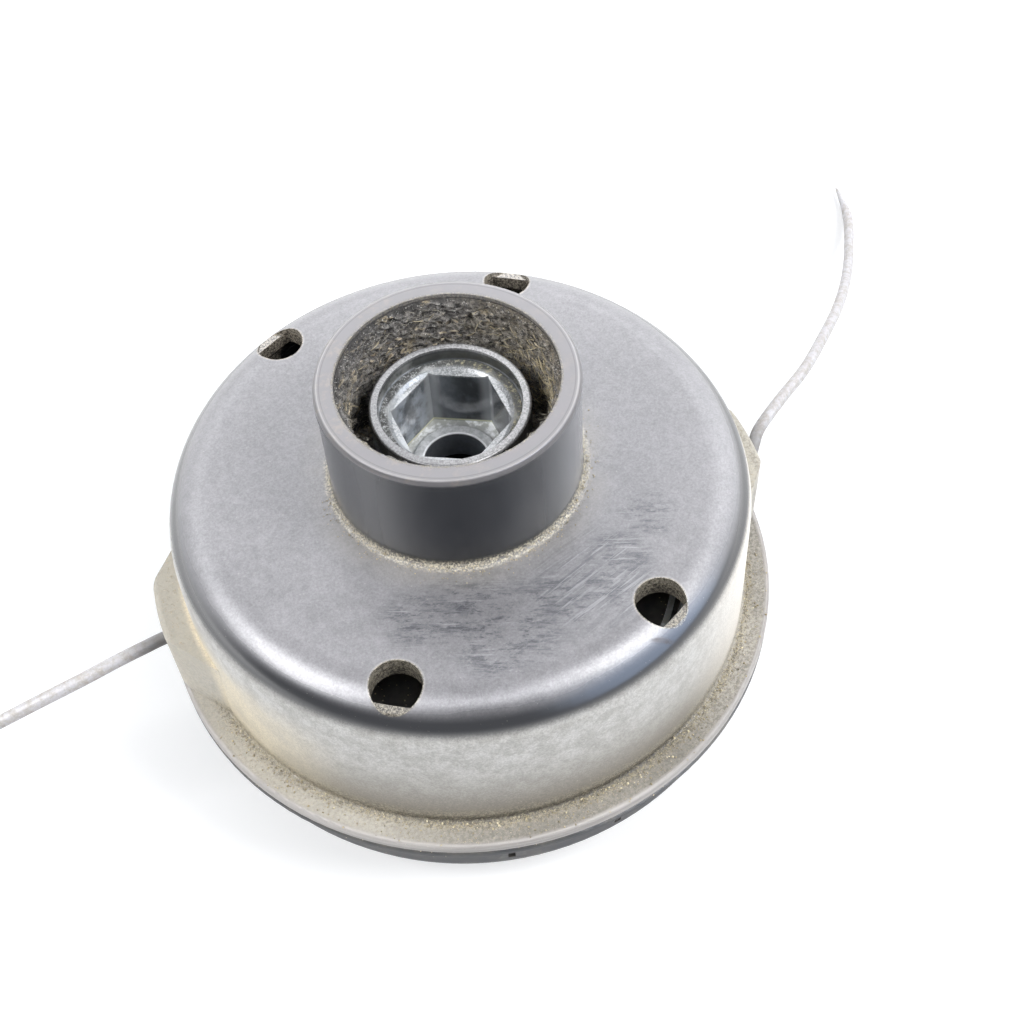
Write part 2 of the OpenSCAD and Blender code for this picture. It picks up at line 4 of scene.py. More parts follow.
import bmesh
import bpy
from mathutils import Matrix, Vector, noise


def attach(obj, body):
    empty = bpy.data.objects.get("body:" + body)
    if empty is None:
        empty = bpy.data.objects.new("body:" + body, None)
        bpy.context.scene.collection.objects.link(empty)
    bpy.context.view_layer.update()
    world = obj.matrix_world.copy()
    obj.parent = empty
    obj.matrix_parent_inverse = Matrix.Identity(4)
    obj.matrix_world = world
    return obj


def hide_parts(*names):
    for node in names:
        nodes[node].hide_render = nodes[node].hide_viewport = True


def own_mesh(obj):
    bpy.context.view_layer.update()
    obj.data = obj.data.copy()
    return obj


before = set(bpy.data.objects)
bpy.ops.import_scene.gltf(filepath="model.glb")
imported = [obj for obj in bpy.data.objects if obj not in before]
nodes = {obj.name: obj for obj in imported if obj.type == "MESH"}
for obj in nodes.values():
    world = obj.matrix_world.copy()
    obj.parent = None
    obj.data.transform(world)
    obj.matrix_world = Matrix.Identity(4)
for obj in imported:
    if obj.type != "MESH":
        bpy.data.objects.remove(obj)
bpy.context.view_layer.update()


# Camera.
# It looks down on the standing head from in front and a little to its left, as the photograph does,
# and leans a few degrees to one side.
EYE = Vector((-0.0335, -0.1501, 0.2545))
TO_THE_RIGHT = Vector((0.9454, -0.3235, -0.0400))
UPWARD = Vector((0.2831, 0.7542, 0.5925))

lens = bpy.data.cameras.new("camera")
lens.sensor_width = 36
lens.lens = 52.42
lens.clip_start = 0.01
camera = bpy.data.objects.new("camera", lens)
bpy.context.scene.collection.objects.link(camera)
BACKWARD = TO_THE_RIGHT.cross(UPWARD)
camera.matrix_world = Matrix.Translation(EYE) @ Matrix((TO_THE_RIGHT, UPWARD, BACKWARD)).transposed().to_4x4()
bpy.context.scene.camera = camera
bpy.context.scene.view_settings.view_transform = "Standard"


# Table and light.
# The head stands on a white table between two soft round lamps, one high on the left and one high on
# the right. They and the pale ceiling draw the bright line along its shoulder, the dark room in front
# draws the dark band outside that line, and a white backdrop behind shines on its flat top.
def add(tree, kind, inputs=None, **settings):
    """A new node of that kind. Its inputs get a value, or a link from another node's output."""
    node = tree.nodes.new("ShaderNode" + kind)
    for name, value in settings.items():
        setattr(node, name, value)
    for name, value in (inputs or {}).items():
        if isinstance(value, bpy.types.NodeSocket):
            tree.links.new(value, node.inputs[name])
        else:
            node.inputs[name].default_value = value
    return node


def calc(tree, operation, *values):
    """The result of a Math node."""
    return add(tree, "Math", dict(enumerate(values)), operation=operation).outputs[0]


def slope(tree, value, start, end, low=0.0, high=1.0):
    """A smooth change from low to high while value goes from start to end."""
    inputs = {"Value": value, "From Min": start, "From Max": end, "To Min": low, "To Max": high}
    return add(tree, "MapRange", inputs, interpolation_type="SMOOTHSTEP").outputs["Result"]


def tint(tree, amount, one, other):
    """The colour one where amount is 0, and other where it is 1."""
    node = add(tree, "Mix", {"Factor": amount}, data_type="RGBA")
    for socket, value in ((node.inputs[6], one), (node.inputs[7], other)):
        if isinstance(value, bpy.types.NodeSocket):
            tree.links.new(value, socket)
        else:
            socket.default_value = (*value, 1)
    return node.outputs[2]


def new_material(name):
    """An empty node material."""
    material = bpy.data.materials.new(name)
    material.use_nodes = True
    material.node_tree.nodes.clear()
    return material


world = bpy.data.worlds.new("room")
world.use_nodes = True
tree = world.node_tree
tree.nodes.clear()
direction = add(tree, "TexCoord").outputs["Generated"]
facing = add(tree, "SeparateXYZ", {"Vector": direction})
forward = calc(tree, "MULTIPLY", facing.outputs["Y"], -1.0)
rightward, upward = facing.outputs["X"], facing.outputs["Z"]


def glow_from(tree, turn, climb, inner, outer, strength):
    """A soft round patch of light in the room, from its direction and its two half angles in degrees."""
    turn, climb = math.radians(turn), math.radians(climb)
    way = (math.cos(climb) * math.cos(turn), math.cos(climb) * math.sin(turn), math.sin(climb))
    along = add(tree, "VectorMath", {0: direction, 1: way}, operation="DOT_PRODUCT").outputs["Value"]
    return slope(tree, along, math.cos(math.radians(outer)), math.cos(math.radians(inner)), 0.0, strength)


backdrop = calc(tree, "MULTIPLY", slope(tree, forward, 0.20, -0.50), slope(tree, upward, 0.93, 0.68, 1.4, 7.8))
backdrop = calc(tree, "MULTIPLY", backdrop, slope(tree, upward, 0.30, 0.72, 0.40, 1.0))
backdrop = calc(tree, "MULTIPLY", backdrop, slope(tree, rightward, -0.2, 0.4, 1.0, 1.15))
ceiling = calc(tree, "MULTIPLY", slope(tree, upward, 0.80, 0.87), slope(tree, upward, 0.97, 0.92))
ceiling = calc(tree, "MULTIPLY", ceiling, slope(tree, forward, 0.0, 0.25, 0.0, 10.0))
room_light = calc(tree, "ADD", calc(tree, "ADD", backdrop, ceiling), 0.5)
for patch in ((-33, 58, 8, 32, 5.5), (-45, 20, 8, 42, 4.4), (180, 44, 10, 28, 8.0), (-160, 48, 8, 25, 8.0), (0, 22, 5, 42, 4.0)):
    room_light = calc(tree, "ADD", room_light, glow_from(tree, *patch))
path = add(tree, "LightPath")
seen = add(tree, "Background", {"Color": (1, 1, 1, 1), "Strength": 1.0})
bluish = tint(tree, glow_from(tree, -48, 12, 10, 42, 1.0), (0.955, 0.965, 1.0), (0.72, 0.87, 1.15))
mirrored = add(tree, "Background", {"Color": bluish, "Strength": room_light})
soft_light = slope(tree, rightward, -0.8, 0.8, 0.34, 0.78)
soft = add(tree, "Background", {"Color": (0.96, 0.98, 1.0, 1), "Strength": soft_light})
lit = add(tree, "MixShader", {0: path.outputs["Is Glossy Ray"], 1: soft.outputs[0], 2: mirrored.outputs[0]})
shown = add(tree, "MixShader", {0: path.outputs["Is Camera Ray"], 1: lit.outputs[0], 2: seen.outputs[0]})
add(tree, "OutputWorld", {"Surface": shown.outputs[0]})
bpy.context.scene.world = world

LAMP_AWAY = 0.9
LAMP_WIDE = 0.40
for name, turn, climb, power in (("left_lamp", 184, 47, 4.6), ("right_lamp", -37, 50, 5.8)):
    light = bpy.data.lights.new(name, "AREA")
    light.shape = "DISK"
    light.size = LAMP_WIDE
    light.energy = power
    light.color = (1.0, 0.99, 0.97)
    lamp = bpy.data.objects.new(name, light)
    bpy.context.scene.collection.objects.link(lamp)
    turn, climb = math.radians(turn), math.radians(climb)
    way = Vector((math.cos(climb) * math.cos(turn), math.cos(climb) * math.sin(turn), math.sin(climb)))
    lamp.location = way * LAMP_AWAY
    lamp.rotation_euler = way.to_track_quat("Z", "Y").to_euler()

shape = bmesh.new()
bmesh.ops.create_circle(shape, cap_ends=True, segments=96, radius=1.6)
table_mesh = bpy.data.meshes.new("table")
shape.to_mesh(table_mesh)
shape.free()
table = bpy.data.objects.new("table", table_mesh)
bpy.context.scene.collection.objects.link(table)
white = new_material("white_table")
tree = white.node_tree
path = add(tree, "LightPath")
paint = add(tree, "BsdfDiffuse", {"Color": (0.80, 0.81, 0.83, 1)})
spot = add(tree, "NewGeometry").outputs["Position"]
away = add(tree, "VectorMath", {0: spot}, operation="LENGTH").outputs["Value"]
sideways = slope(tree, add(tree, "SeparateXYZ", {"Vector": spot}).outputs["Y"], -0.30, 0.05)
far_glow = calc(tree, "MULTIPLY", slope(tree, away, 0.10, 0.45, 0.0, 2.0), sideways)
far_glow = calc(tree, "MULTIPLY", far_glow, path.outputs["Is Glossy Ray"])
glow = add(tree, "Emission", {"Color": (1, 1, 1, 1), "Strength": calc(tree, "ADD", far_glow, 0.30)})
both = add(tree, "AddShader", {0: paint.outputs[0], 1: glow.outputs[0]})
direct = calc(tree, "MAXIMUM", path.outputs["Is Camera Ray"], path.outputs["Is Glossy Ray"])
direct = calc(tree, "MAXIMUM", direct, path.outputs["Is Transmission Ray"])
surface = add(tree, "MixShader", {0: direct, 1: paint.outputs[0], 2: both.outputs[0]})
add(tree, "OutputMaterial", {"Surface": surface.outputs[0]})
table_mesh.materials.append(white)


# Line ends.
# The free ends of the grey nylon cutting line, 2.3 mm thick. Each comes out of its eyelet, falls to the
# table in a slack curve and stops where it was cut; the right one is worn at its tip.
LINE_THICK = 0.0023
LEFT_ROUTE = [
    (-0.0465, 0, 0.0370), (-0.0505, 0, 0.0370), (-0.0545, 0, 0.0370), (-0.0585, -0.0007, 0.0369),
    (-0.0635, -0.0015, 0.0365), (-0.0700, -0.0025, 0.0356), (-0.0775, -0.0032, 0.0342), (-0.0850, -0.0034, 0.0320),
    (-0.0925, -0.0030, 0.0290), (-0.1000, -0.0018, 0.0250), (-0.1070, 0.0003, 0.0200), (-0.1140, 0.0032, 0.0145),
    (-0.1205, 0.0070, 0.0090), (-0.1270, 0.0118, 0.0048), (-0.1330, 0.0175, 0.0022), (-0.1390, 0.0240, 0.0013),
    (-0.1445, 0.0310, 0.0013), (-0.1490, 0.0385, 0.0013), (-0.1525, 0.0460, 0.0013),
]
RIGHT_ROUTE = [
    (0.0465, 0, 0.0370), (0.0505, 0, 0.0370), (0.0538, 0.0001, 0.0370), (0.0556, 0.0011, 0.0370),
    (0.0573, 0.0033, 0.0370), (0.0594, 0.0060, 0.0369), (0.0625, 0.0088, 0.0364), (0.0685, 0.0140, 0.0345),
    (0.0775, 0.0220, 0.0305), (0.0875, 0.0330, 0.0245), (0.0985, 0.0460, 0.0170), (0.1080, 0.0590, 0.0105),
    (0.1160, 0.0720, 0.0050), (0.1225, 0.0850, 0.0020), (0.1250, 0.0960, 0.0013),
]


def lay_line(name, route):
    """A round line on one smooth curve through the route's points."""
    curve = bpy.data.curves.new(name, "CURVE")
    curve.dimensions = "3D"
    curve.bevel_depth = LINE_THICK / 2
    curve.bevel_resolution = 4
    curve.resolution_u = 10
    curve.use_fill_caps = True
    spline = curve.splines.new("BEZIER")
    spline.bezier_points.add(len(route) - 1)
    for i, point in enumerate(spline.bezier_points):
        here, before, after = (Vector(route[j]) for j in (i, max(i - 1, 0), min(i + 1, len(route) - 1)))
        point.co = here
        point.handle_left = here - (after - before) / 6
        point.handle_right = here + (after - before) / 6
    piece = bpy.data.objects.new(name, curve)
    bpy.context.scene.collection.objects.link(piece)
    return piece


def grain(tree, place, size, detail=2.0, rough=0.5, stretch=None):
    """Noise from 0 to 1 whose blotches are about size metres across, stretched by (x, y, z) if that is given."""
    if stretch:
        place = add(tree, "Mapping", {"Vector": place, "Scale": stretch}).outputs[0]
    inputs = {"Vector": place, "Scale": 1 / size, "Detail": detail, "Roughness": rough}
    return add(tree, "TexNoise", inputs).outputs[0]


def finish(tree, colour, rough, normal=None, metallic=0.0, **fixed):
    """The Principled BSDF at a material's end."""
    inputs = {"Base Color": colour, "Roughness": rough, "Metallic": metallic, **fixed}
    if not isinstance(colour, bpy.types.NodeSocket):
        inputs["Base Color"] = (*colour, 1)
    if normal:
        inputs["Normal"] = normal
    skin = add(tree, "BsdfPrincipled", inputs)
    add(tree, "OutputMaterial", {"Surface": skin.outputs[0]})
    return skin


def bumps(tree, height, depth, under=None):
    """A normal raised by height times depth, in metres."""
    inputs = {"Height": height, "Strength": 1.0, "Distance": depth}
    if under:
        inputs["Normal"] = under
    return add(tree, "Bump", inputs).outputs[0]


def line_material(name, bare, soiled, pale, root=None):
    """Nylon line with soil rubbed into it in short streaks, and darker at its root if that is given."""
    material = new_material(name)
    tree = material.node_tree
    place = add(tree, "TexCoord").outputs["Object"]
    streak = slope(tree, grain(tree, place, 0.0016, 6, 0.75), 0.40, 0.62)
    speck = slope(tree, grain(tree, place, 0.0005, 3, 0.8), 0.56, 0.66)
    colour = tint(tree, streak, bare, soiled)
    colour = tint(tree, calc(tree, "MULTIPLY", speck, 0.4), colour, pale)
    if root:
        out = calc(tree, "ABSOLUTE", add(tree, "SeparateXYZ", {"Vector": place}).outputs["X"])
        colour = tint(tree, slope(tree, out, root + 0.008, root, 0.0, 0.85), colour, (0.075, 0.072, 0.066))
    rough = calc(tree, "ADD", calc(tree, "MULTIPLY", streak, 0.15), 0.42)
    finish(tree, colour, rough, bumps(tree, grain(tree, place, 0.0005, 4, 0.7), 0.00006))
    return material


line_nylon = line_material("line_nylon", (0.25, 0.255, 0.26), (0.165, 0.16, 0.15), (0.42, 0.38, 0.30))
worn_nylon = line_material("worn_line_nylon", (0.46, 0.455, 0.48), (0.35, 0.325, 0.305), (0.66, 0.64, 0.62), root=0.056)
for name, route, length in (("left_line", LEFT_ROUTE, 0.136), ("right_line", RIGHT_ROUTE, 0.135)):
    line = lay_line(name + "_end", route)
    if name == "right_line":
        line.data.splines[0].bezier_points[-1].radius = 0.15
    line.data.materials.append(worn_nylon)
    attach(line, "head")
    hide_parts(name)


# Housing.
# The top half is one moulding of black glass-filled nylon: a domed cap with a collar and a hexagon socket
# on it. Use has hazed and scuffed its top, and grass dust sits in its corners and on its ledges.
def new_group(name, given, results):
    """A node group with number or vector inputs and number outputs."""
    tree = bpy.data.node_groups.new(name, "ShaderNodeTree")
    for title, value in given.items():
        kind = "NodeSocketVector" if isinstance(value, tuple) else "NodeSocketFloat"
        tree.interface.new_socket(title, in_out="INPUT", socket_type=kind).default_value = value
    for title in results:
        tree.interface.new_socket(title, in_out="OUTPUT", socket_type="NodeSocketFloat")
    return tree, tree.nodes.new("NodeGroupInput").outputs, tree.nodes.new("NodeGroupOutput").inputs


def settled_dust():
    """Dust that lies as a haze with single grains in it, thickest on faces that look up."""
    tree, given, result = new_group("settled dust", {"Amount": 0.5, "Grain": 0.0004, "Upward": 0.5}, ["Haze", "Grains"])
    place = add(tree, "TexCoord").outputs["Object"]
    up = add(tree, "SeparateXYZ", {"Vector": add(tree, "NewGeometry").outputs["Normal"]}).outputs["Z"]
    lies = calc(tree, "SUBTRACT", 1.0, calc(tree, "MULTIPLY", given["Upward"], slope(tree, up, 0.9, -0.1)))
    cloud = grain(tree, place, 0.006, 5, 0.65)
    amount = calc(tree, "MULTIPLY", given["Amount"], lies)
    edge = calc(tree, "SUBTRACT", 1.0, amount)
    thick = calc(tree, "SUBTRACT", calc(tree, "ADD", cloud, 0.25), calc(tree, "MULTIPLY", edge, 0.8))
    tree.links.new(slope(tree, thick, -0.1, 0.55), result["Haze"])
    cells = add(tree, "TexVoronoi", {"Vector": place, "Scale": calc(tree, "DIVIDE", 1.0, given["Grain"])})
    chance = add(tree, "SeparateColor", {"Color": cells.outputs["Color"]}).outputs["Red"]
    there = calc(tree, "LESS_THAN", chance, calc(tree, "MULTIPLY", amount, slope(tree, cloud, 0.35, 0.65, 0.15, 0.8)))
    size = add(tree, "SeparateColor", {"Color": cells.outputs["Color"]}).outputs["Green"]
    reach = calc(tree, "ADD", 0.10, calc(tree, "MULTIPLY", calc(tree, "POWER", size, 2.0), 0.30))
    round_mask = slope(tree, calc(tree, "SUBTRACT", cells.outputs["Distance"], reach), 0.04, -0.04)
    tree.links.new(calc(tree, "MULTIPLY", there, round_mask), result["Grains"])
    return tree


def fine_scratches():
    """Thin scratches that run one way, from a turn about the head's axis."""
    tree, given, result = new_group("fine scratches", {"Turn": (0.0, 0.0, 0.0), "Amount": 0.5}, ["Scratches", "Rubbed"])
    place = add(tree, "TexCoord").outputs["Object"]
    turned = add(tree, "Mapping", {"Vector": place, "Rotation": given["Turn"]}).outputs[0]
    fine = grain(tree, turned, 0.00035, 3, 0.6, (0.05, 1.0, 0.3))
    coarse = grain(tree, turned, 0.0011, 3, 0.6, (0.10, 1.0, 0.4))
    limit = calc(tree, "SUBTRACT", 0.74, calc(tree, "MULTIPLY", given["Amount"], 0.16))
    line = slope(tree, calc(tree, "SUBTRACT", fine, limit), 0.0, 0.05)
    tree.links.new(calc(tree, "MULTIPLY", line, slope(tree, coarse, 0.42, 0.58)), result["Scratches"])
    tree.links.new(slope(tree, coarse, 0.35, 0.70), result["Rubbed"])
    return tree


def moulded_skin():
    """The faint skin of moulded nylon: shallow ripples and a grain of glass fibres."""
    tree, given, result = new_group("moulded skin", {"Grain": 0.00025}, ["Height", "Clouds"])
    place = add(tree, "TexCoord").outputs["Object"]
    fibres = add(tree, "TexNoise", {"Vector": place, "Scale": calc(tree, "DIVIDE", 1.0, given["Grain"]), "Detail": 3.0})
    ripples = grain(tree, place, 0.007, 2)
    height = calc(tree, "ADD", calc(tree, "MULTIPLY", fibres.outputs[0], 0.25), calc(tree, "MULTIPLY", ripples, 0.75))
    tree.links.new(height, result["Height"])
    tree.links.new(grain(tree, place, 0.011, 6, 0.62), result["Clouds"])
    return tree


DUST = settled_dust()
SCRATCHES = fine_scratches()
SKIN = moulded_skin()


def between(tree, value, low, high, soft):
    """1 where value lies between low and high, fading over soft on both sides."""
    inside = slope(tree, value, low - soft, low + soft)
    return calc(tree, "MULTIPLY", inside, slope(tree, value, high + soft, high - soft))


def near(tree, place, centre, reach, soft):
    """1 around a point, fading to 0 at the reach."""
    distance = add(tree, "VectorMath", {0: place, 1: centre}, operation="DISTANCE").outputs["Value"]
    return slope(tree, distance, reach, reach - soft)


def times(tree, *masks):
    """The product of several masks."""
    product = masks[0]
    for mask in masks[1:]:
        product = calc(tree, "MULTIPLY", product, mask)
    return product


def finish_node(name, material):
    """Gives a CAD piece its material."""
    for place in nodes[name].material_slots:
        place.material = material


DOME_TOP = 0.0614
SHOULDER_FOOT = 0.0536
COLLAR_TOP = 0.0827
COLLAR_R = 0.0209
COLLAR_BORE = 0.01764
BOSS_R = 0.01287
BOSS_TOP = 0.0765
POCKET_R = 0.01155
HEX_MOUTH = 0.0740
HEX_FLOOR = 0.0618
HEX_R = 0.00981
HEX_FLAT = 0.0085
HEX_TURN = math.radians(35)
WALL_R = 0.0495
FLANGE_TOP = 0.0300
FLANGE_R = 0.0543
LEDGE_TOP = 0.0450
HOLE_PLACE = (0.0213, 0.0369, 0)
HOLE_R = 0.0041

BARE_NYLON = (0.028, 0.029, 0.033)
HAZE = (0.212, 0.209, 0.222)
TAN_GRAIN = (0.60, 0.51, 0.35)


def housing_zones(tree, place):
    """Masks of the housing's faces, by height and by distance from the axis and from the holes."""
    height = add(tree, "SeparateXYZ", {"Vector": place}).outputs["Z"]
    flat = add(tree, "VectorMath", {0: place, 1: (1, 1, 0)}, operation="MULTIPLY").outputs[0]
    radius = add(tree, "VectorMath", {0: flat}, operation="LENGTH").outputs["Value"]
    quarter = add(tree, "VectorMath", {0: flat}, operation="ABSOLUTE").outputs[0]
    to_hole = add(tree, "VectorMath", {0: quarter, 1: HOLE_PLACE}, operation="DISTANCE").outputs["Value"]
    zones = {"height": height, "flat": flat, "radius": radius}
    outside = slope(tree, radius, COLLAR_R - 0.0002, COLLAR_R + 0.0004)
    zones["dome"] = times(tree, outside, slope(tree, height, DOME_TOP - 0.0030, DOME_TOP - 0.0008))
    zones["wall"] = times(tree, slope(tree, radius, WALL_R - 0.0019, WALL_R - 0.0009),
                          slope(tree, height, SHOULDER_FOOT + 0.0040, SHOULDER_FOOT + 0.0016))
    zones["flange"] = times(tree, slope(tree, radius, WALL_R - 0.0002, WALL_R + 0.0008),
                            slope(tree, height, LEDGE_TOP + 0.0012, LEDGE_TOP + 0.0003))
    zones["rim"] = times(tree, zones["flange"], slope(tree, radius, FLANGE_R - 0.0012, FLANGE_R - 0.0004),
                         slope(tree, height, FLANGE_TOP + 0.0010, FLANGE_TOP + 0.0002))
    zones["collar"] = times(tree, between(tree, radius, COLLAR_R - 0.0004, COLLAR_R + 0.0006, 0.0002),
                            slope(tree, height, DOME_TOP + 0.0004, DOME_TOP + 0.0020))
    zones["lip"] = times(tree, slope(tree, height, COLLAR_TOP - 0.0011, COLLAR_TOP - 0.0003),
                         slope(tree, radius, COLLAR_BORE - 0.0004, COLLAR_BORE + 0.0001))
    zones["socket"] = times(tree, slope(tree, radius, BOSS_R + 0.0004, BOSS_R), slope(tree, height, 0.0590, 0.0600))
    zones["boss rim"] = times(tree, zones["socket"], slope(tree, height, BOSS_TOP - 0.0007, BOSS_TOP - 0.0002),
                              slope(tree, radius, POCKET_R - 0.0003, POCKET_R + 0.0001))
    zones["ledge"] = times(tree, zones["socket"], slope(tree, radius, 0.0114, 0.0112),
                           between(tree, height, HEX_MOUTH - 0.0002, HEX_MOUTH + 0.0003, 0.0001))
    zones["hole"] = times(tree, slope(tree, to_hole, HOLE_R + 0.00025, HOLE_R + 0.00005),
                          slope(tree, height, 0.0420, 0.0480))
    zones["hole edge"] = times(tree, slope(tree, to_hole, HOLE_R + 0.0005, HOLE_R + 0.0002),
                               slope(tree, height, DOME_TOP - 0.0012, DOME_TOP - 0.0006))
    return zones


def hazed_dome(tree, place, zones, grains):
    """Colour, roughness and scratches of the dome: a mottled haze, rubbed through in streaks at the front."""
    clouds = grains["clouds"]
    speckle = slope(tree, grains["fine"], 0.32, 0.68)
    mottle = slope(tree, grain(tree, place, 0.0016, 5, 0.7), 0.34, 0.66)
    film = calc(tree, "ADD", slope(tree, clouds, 0.30, 0.70, 0.50, 0.74), calc(tree, "MULTIPLY", speckle, 0.20))
    film = calc(tree, "ADD", film, calc(tree, "MULTIPLY", mottle, 0.14))
    colour = tint(tree, times(tree, film, zones["dome"]), BARE_NYLON, HAZE)
    rough = calc(tree, "ADD", 0.18, times(tree, zones["dome"], slope(tree, clouds, 0.3, 0.7, 0.12, 0.18)))

    across = add(tree, "Group", {"Turn": (0, 0, math.radians(19)), "Amount": 0.9}, node_tree=SCRATCHES)
    aslant = add(tree, "Group", {"Turn": (0, 0, math.radians(-22)), "Amount": 1.25}, node_tree=SCRATCHES)
    turned = add(tree, "Mapping", {"Vector": place, "Rotation": (0, 0, math.radians(19))}).outputs[0]
    smears = slope(tree, grain(tree, turned, 0.0024, 6, 0.8, (0.45, 1.0, 1.0)), 0.44, 0.58)
    threads = slope(tree, grain(tree, turned, 0.00055, 4, 0.8, (0.16, 1.0, 1.0)), 0.38, 0.62)
    rubbed = None
    for centre, reach in (((-0.0069, -0.0287, DOME_TOP), 0.0110), ((-0.0005, -0.0330, DOME_TOP), 0.0115),
                          ((-0.0150, -0.0270, DOME_TOP), 0.0080), ((0.0068, -0.0314, DOME_TOP), 0.0085),
                          ((-0.0050, -0.0360, DOME_TOP), 0.0090), ((0.0140, -0.0320, DOME_TOP), 0.0070),
                          ((0.0185, -0.0268, DOME_TOP), 0.0080), ((0.0255, -0.0215, DOME_TOP), 0.0070)):
        patch = near(tree, place, centre, reach, reach * 0.75)
        rubbed = calc(tree, "MAXIMUM", rubbed, patch) if rubbed else patch
    rubbed = times(tree, rubbed, zones["dome"])
    bare = times(tree, rubbed, slope(tree, smears, 0, 1, 0.18, 0.90), slope(tree, threads, 0, 1, 0.40, 1.0))
    colour = tint(tree, bare, colour, (0.040, 0.043, 0.052))
    bundle = times(tree, near(tree, place, (0.0132, -0.0298, DOME_TOP), 0.0125, 0.007), zones["dome"])
    strokes = calc(tree, "MAXIMUM", times(tree, across.outputs["Scratches"], rubbed),
                   times(tree, aslant.outputs["Scratches"], calc(tree, "MAXIMUM", bundle, times(tree, rubbed, 0.3))))
    colour = tint(tree, times(tree, aslant.outputs["Rubbed"], bundle, 0.70), colour, (0.050, 0.053, 0.062))
    colour = tint(tree, times(tree, strokes, slope(tree, bundle, 0, 1, 0.55, 0.65)), colour, (0.27, 0.27, 0.285))
    colour = tint(tree, times(tree, zones["hole edge"], 0.35), colour, (0.42, 0.41, 0.40))
    level = add(tree, "Mapping", {"Vector": zones["flat"], "Rotation": (0, 0, math.radians(6))}).outputs[0]
    level = add(tree, "VectorMath", {0: level, 1: (0.22, 1, 0)}, operation="MULTIPLY").outputs[0]
    scar = times(tree, near(tree, level, (0.0052, -0.0402, 0), 0.00050, 0.0003), slope(tree, mottle, 0, 1, 0.4, 1.0))
    colour = tint(tree, times(tree, scar, 0.7), colour, (0.120, 0.108, 0.110))
    shine = calc(tree, "ADD", 0.5, times(tree, zones["dome"], slope(tree, speckle, 0, 1, -0.09, 0.09)))
    shine = calc(tree, "SUBTRACT", shine, times(tree, scar, 0.40))
    shine = calc(tree, "SUBTRACT", shine, times(tree, bare, 0.12))
    rough = calc(tree, "ADD", rough, times(tree, scar, 0.25))
    return colour, calc(tree, "ADD", rough, times(tree, bare, 0.05)), strokes, shine


